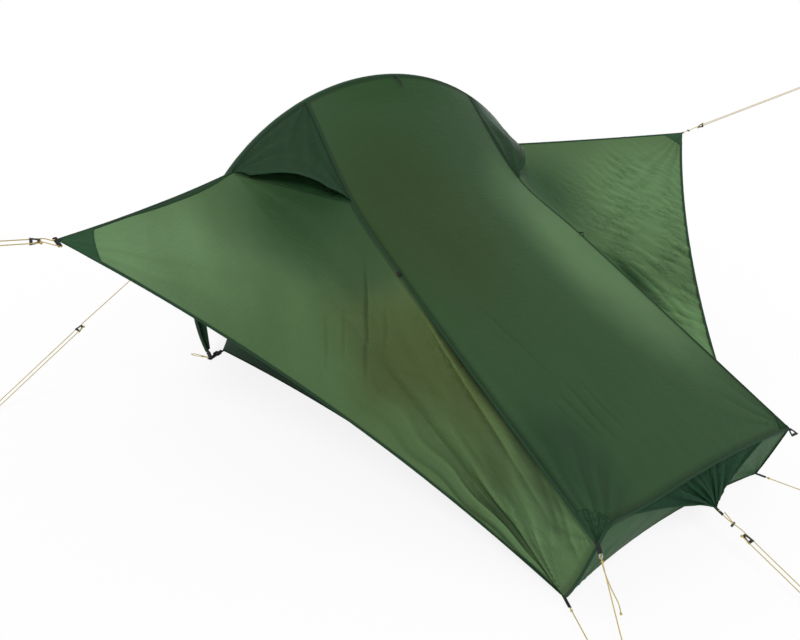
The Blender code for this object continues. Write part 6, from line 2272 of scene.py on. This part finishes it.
LEFT_FOLDS: list[Fold] = [
    Crease((-0.650, -0.660, 0.458), (-0.758, -0.866, 0.387), 0.0045, -0.0030, CAMERA_PLACE),
    Crease((-0.578, -0.643, 0.464), (-0.697, -0.855, 0.377), 0.0045, -0.0026, CAMERA_PLACE),
    Crease((-0.463, -0.580, 0.581), (-0.662, -0.925, 0.336), 0.0055, -0.0050, CAMERA_PLACE),
    Crease((-0.493, -0.750, 0.487), (-0.549, -0.845, 0.373), 0.0060, -0.0022, CAMERA_PLACE),
    Crease((-0.455, -1.560, 0.008), (-0.545, -1.240, 0.165), 0.010, 0.0060),
    Crease((-0.455, -1.555, 0.010), (-0.505, -1.215, 0.195), 0.012, -0.0056),
    Crease((-0.444, -1.383, 0.279), (-0.451, -1.540, 0.140), 0.012, -0.0070, CAMERA_PLACE),
    Crease((-0.440, -1.435, 0.277), (-0.449, -1.568, 0.134), 0.007, -0.0060, CAMERA_PLACE),
]
LEFT_WRINKLES: list[Fold] = LEFT_FOLDS + [
    Fan(TIPS[Side.LEFT], (-0.8, -0.7, 0.5), 0.5, 3.0, 0.0009, 0.40, near=0.08),
    Fan((-0.455, -1.566, 0.004), (-0.62, -1.0, 0.25), 0.32, 4.0, 0.0060, 0.45, near=0.10, phase=0.9),
    Ripples((-0.85, -0.60, 0.52), 0.55, (-0.2, -0.9, -0.4), 0.15, 0.0010, 91),
]
RIGHT_WRINKLES: list[Fold] = [
    Fan(TIPS[Side.RIGHT], (0.8, -0.8, 0.5), 0.6, 5.0, 0.0022, 0.30, near=0.06),
    Fan((0.455, -1.566, 0.004), (0.66, -1.0, 0.30), 0.30, 4.0, 0.0040, 0.50, near=0.10, phase=0.5),
    Ripples((0.88, -0.66, 0.57), 0.36, (0.28, -0.93, -0.24), 0.034, 0.0030, 95),
    Ripples((0.74, -0.98, 0.40), 0.32, (0.24, -0.93, -0.28), 0.045, 0.0044, 97),
    Ripples((0.90, -0.50, 0.63), 0.30, (0.10, -0.97, -0.20), 0.026, 0.0016, 99),
    Crease((0.640, -0.68, 0.460), (0.628, -1.12, 0.275), 0.022, -0.0070),
    Crease((0.668, -0.70, 0.455), (0.650, -1.12, 0.290), 0.010, 0.0056),
    Crease((0.700, -0.80, 0.425), (0.690, -1.10, 0.310), 0.012, 0.0036),
]


def main() -> None:
    """Build the dressed tent."""
    logging.basicConfig(level=logging.INFO, format="%(message)s")
    for old in list(bpy.data.objects):
        bpy.data.objects.remove(old, do_unlink=True)
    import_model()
    Studio().build()
    pattern = Pattern(Hoop())
    Rigging(pattern).build()
    pattern.hoop.build()
    wings = {
        Side.LEFT: Awning(pattern, Side.LEFT, TIPS[Side.LEFT], -0.012, 0.072, flap_width=0.050,
                          wrinkles=LEFT_WRINKLES),
        Side.RIGHT: Awning(pattern, Side.RIGHT, TIPS[Side.RIGHT], -0.004, 0.066,
                           patch_reach=(0.088, 0.088), wrinkles=RIGHT_WRINKLES),
    }
    flysheet = Flysheet(pattern, wings)
    flysheet.build()
    for side in Side:
        wings[side].build(flysheet.cuts["side_foot_" + side.value].mean)
        Vent(pattern, side).build()
        DoorZip(pattern, side).build()
    FootVent(pattern).build()
    InnerTent().build()


if __name__ == "__main__":
    main()
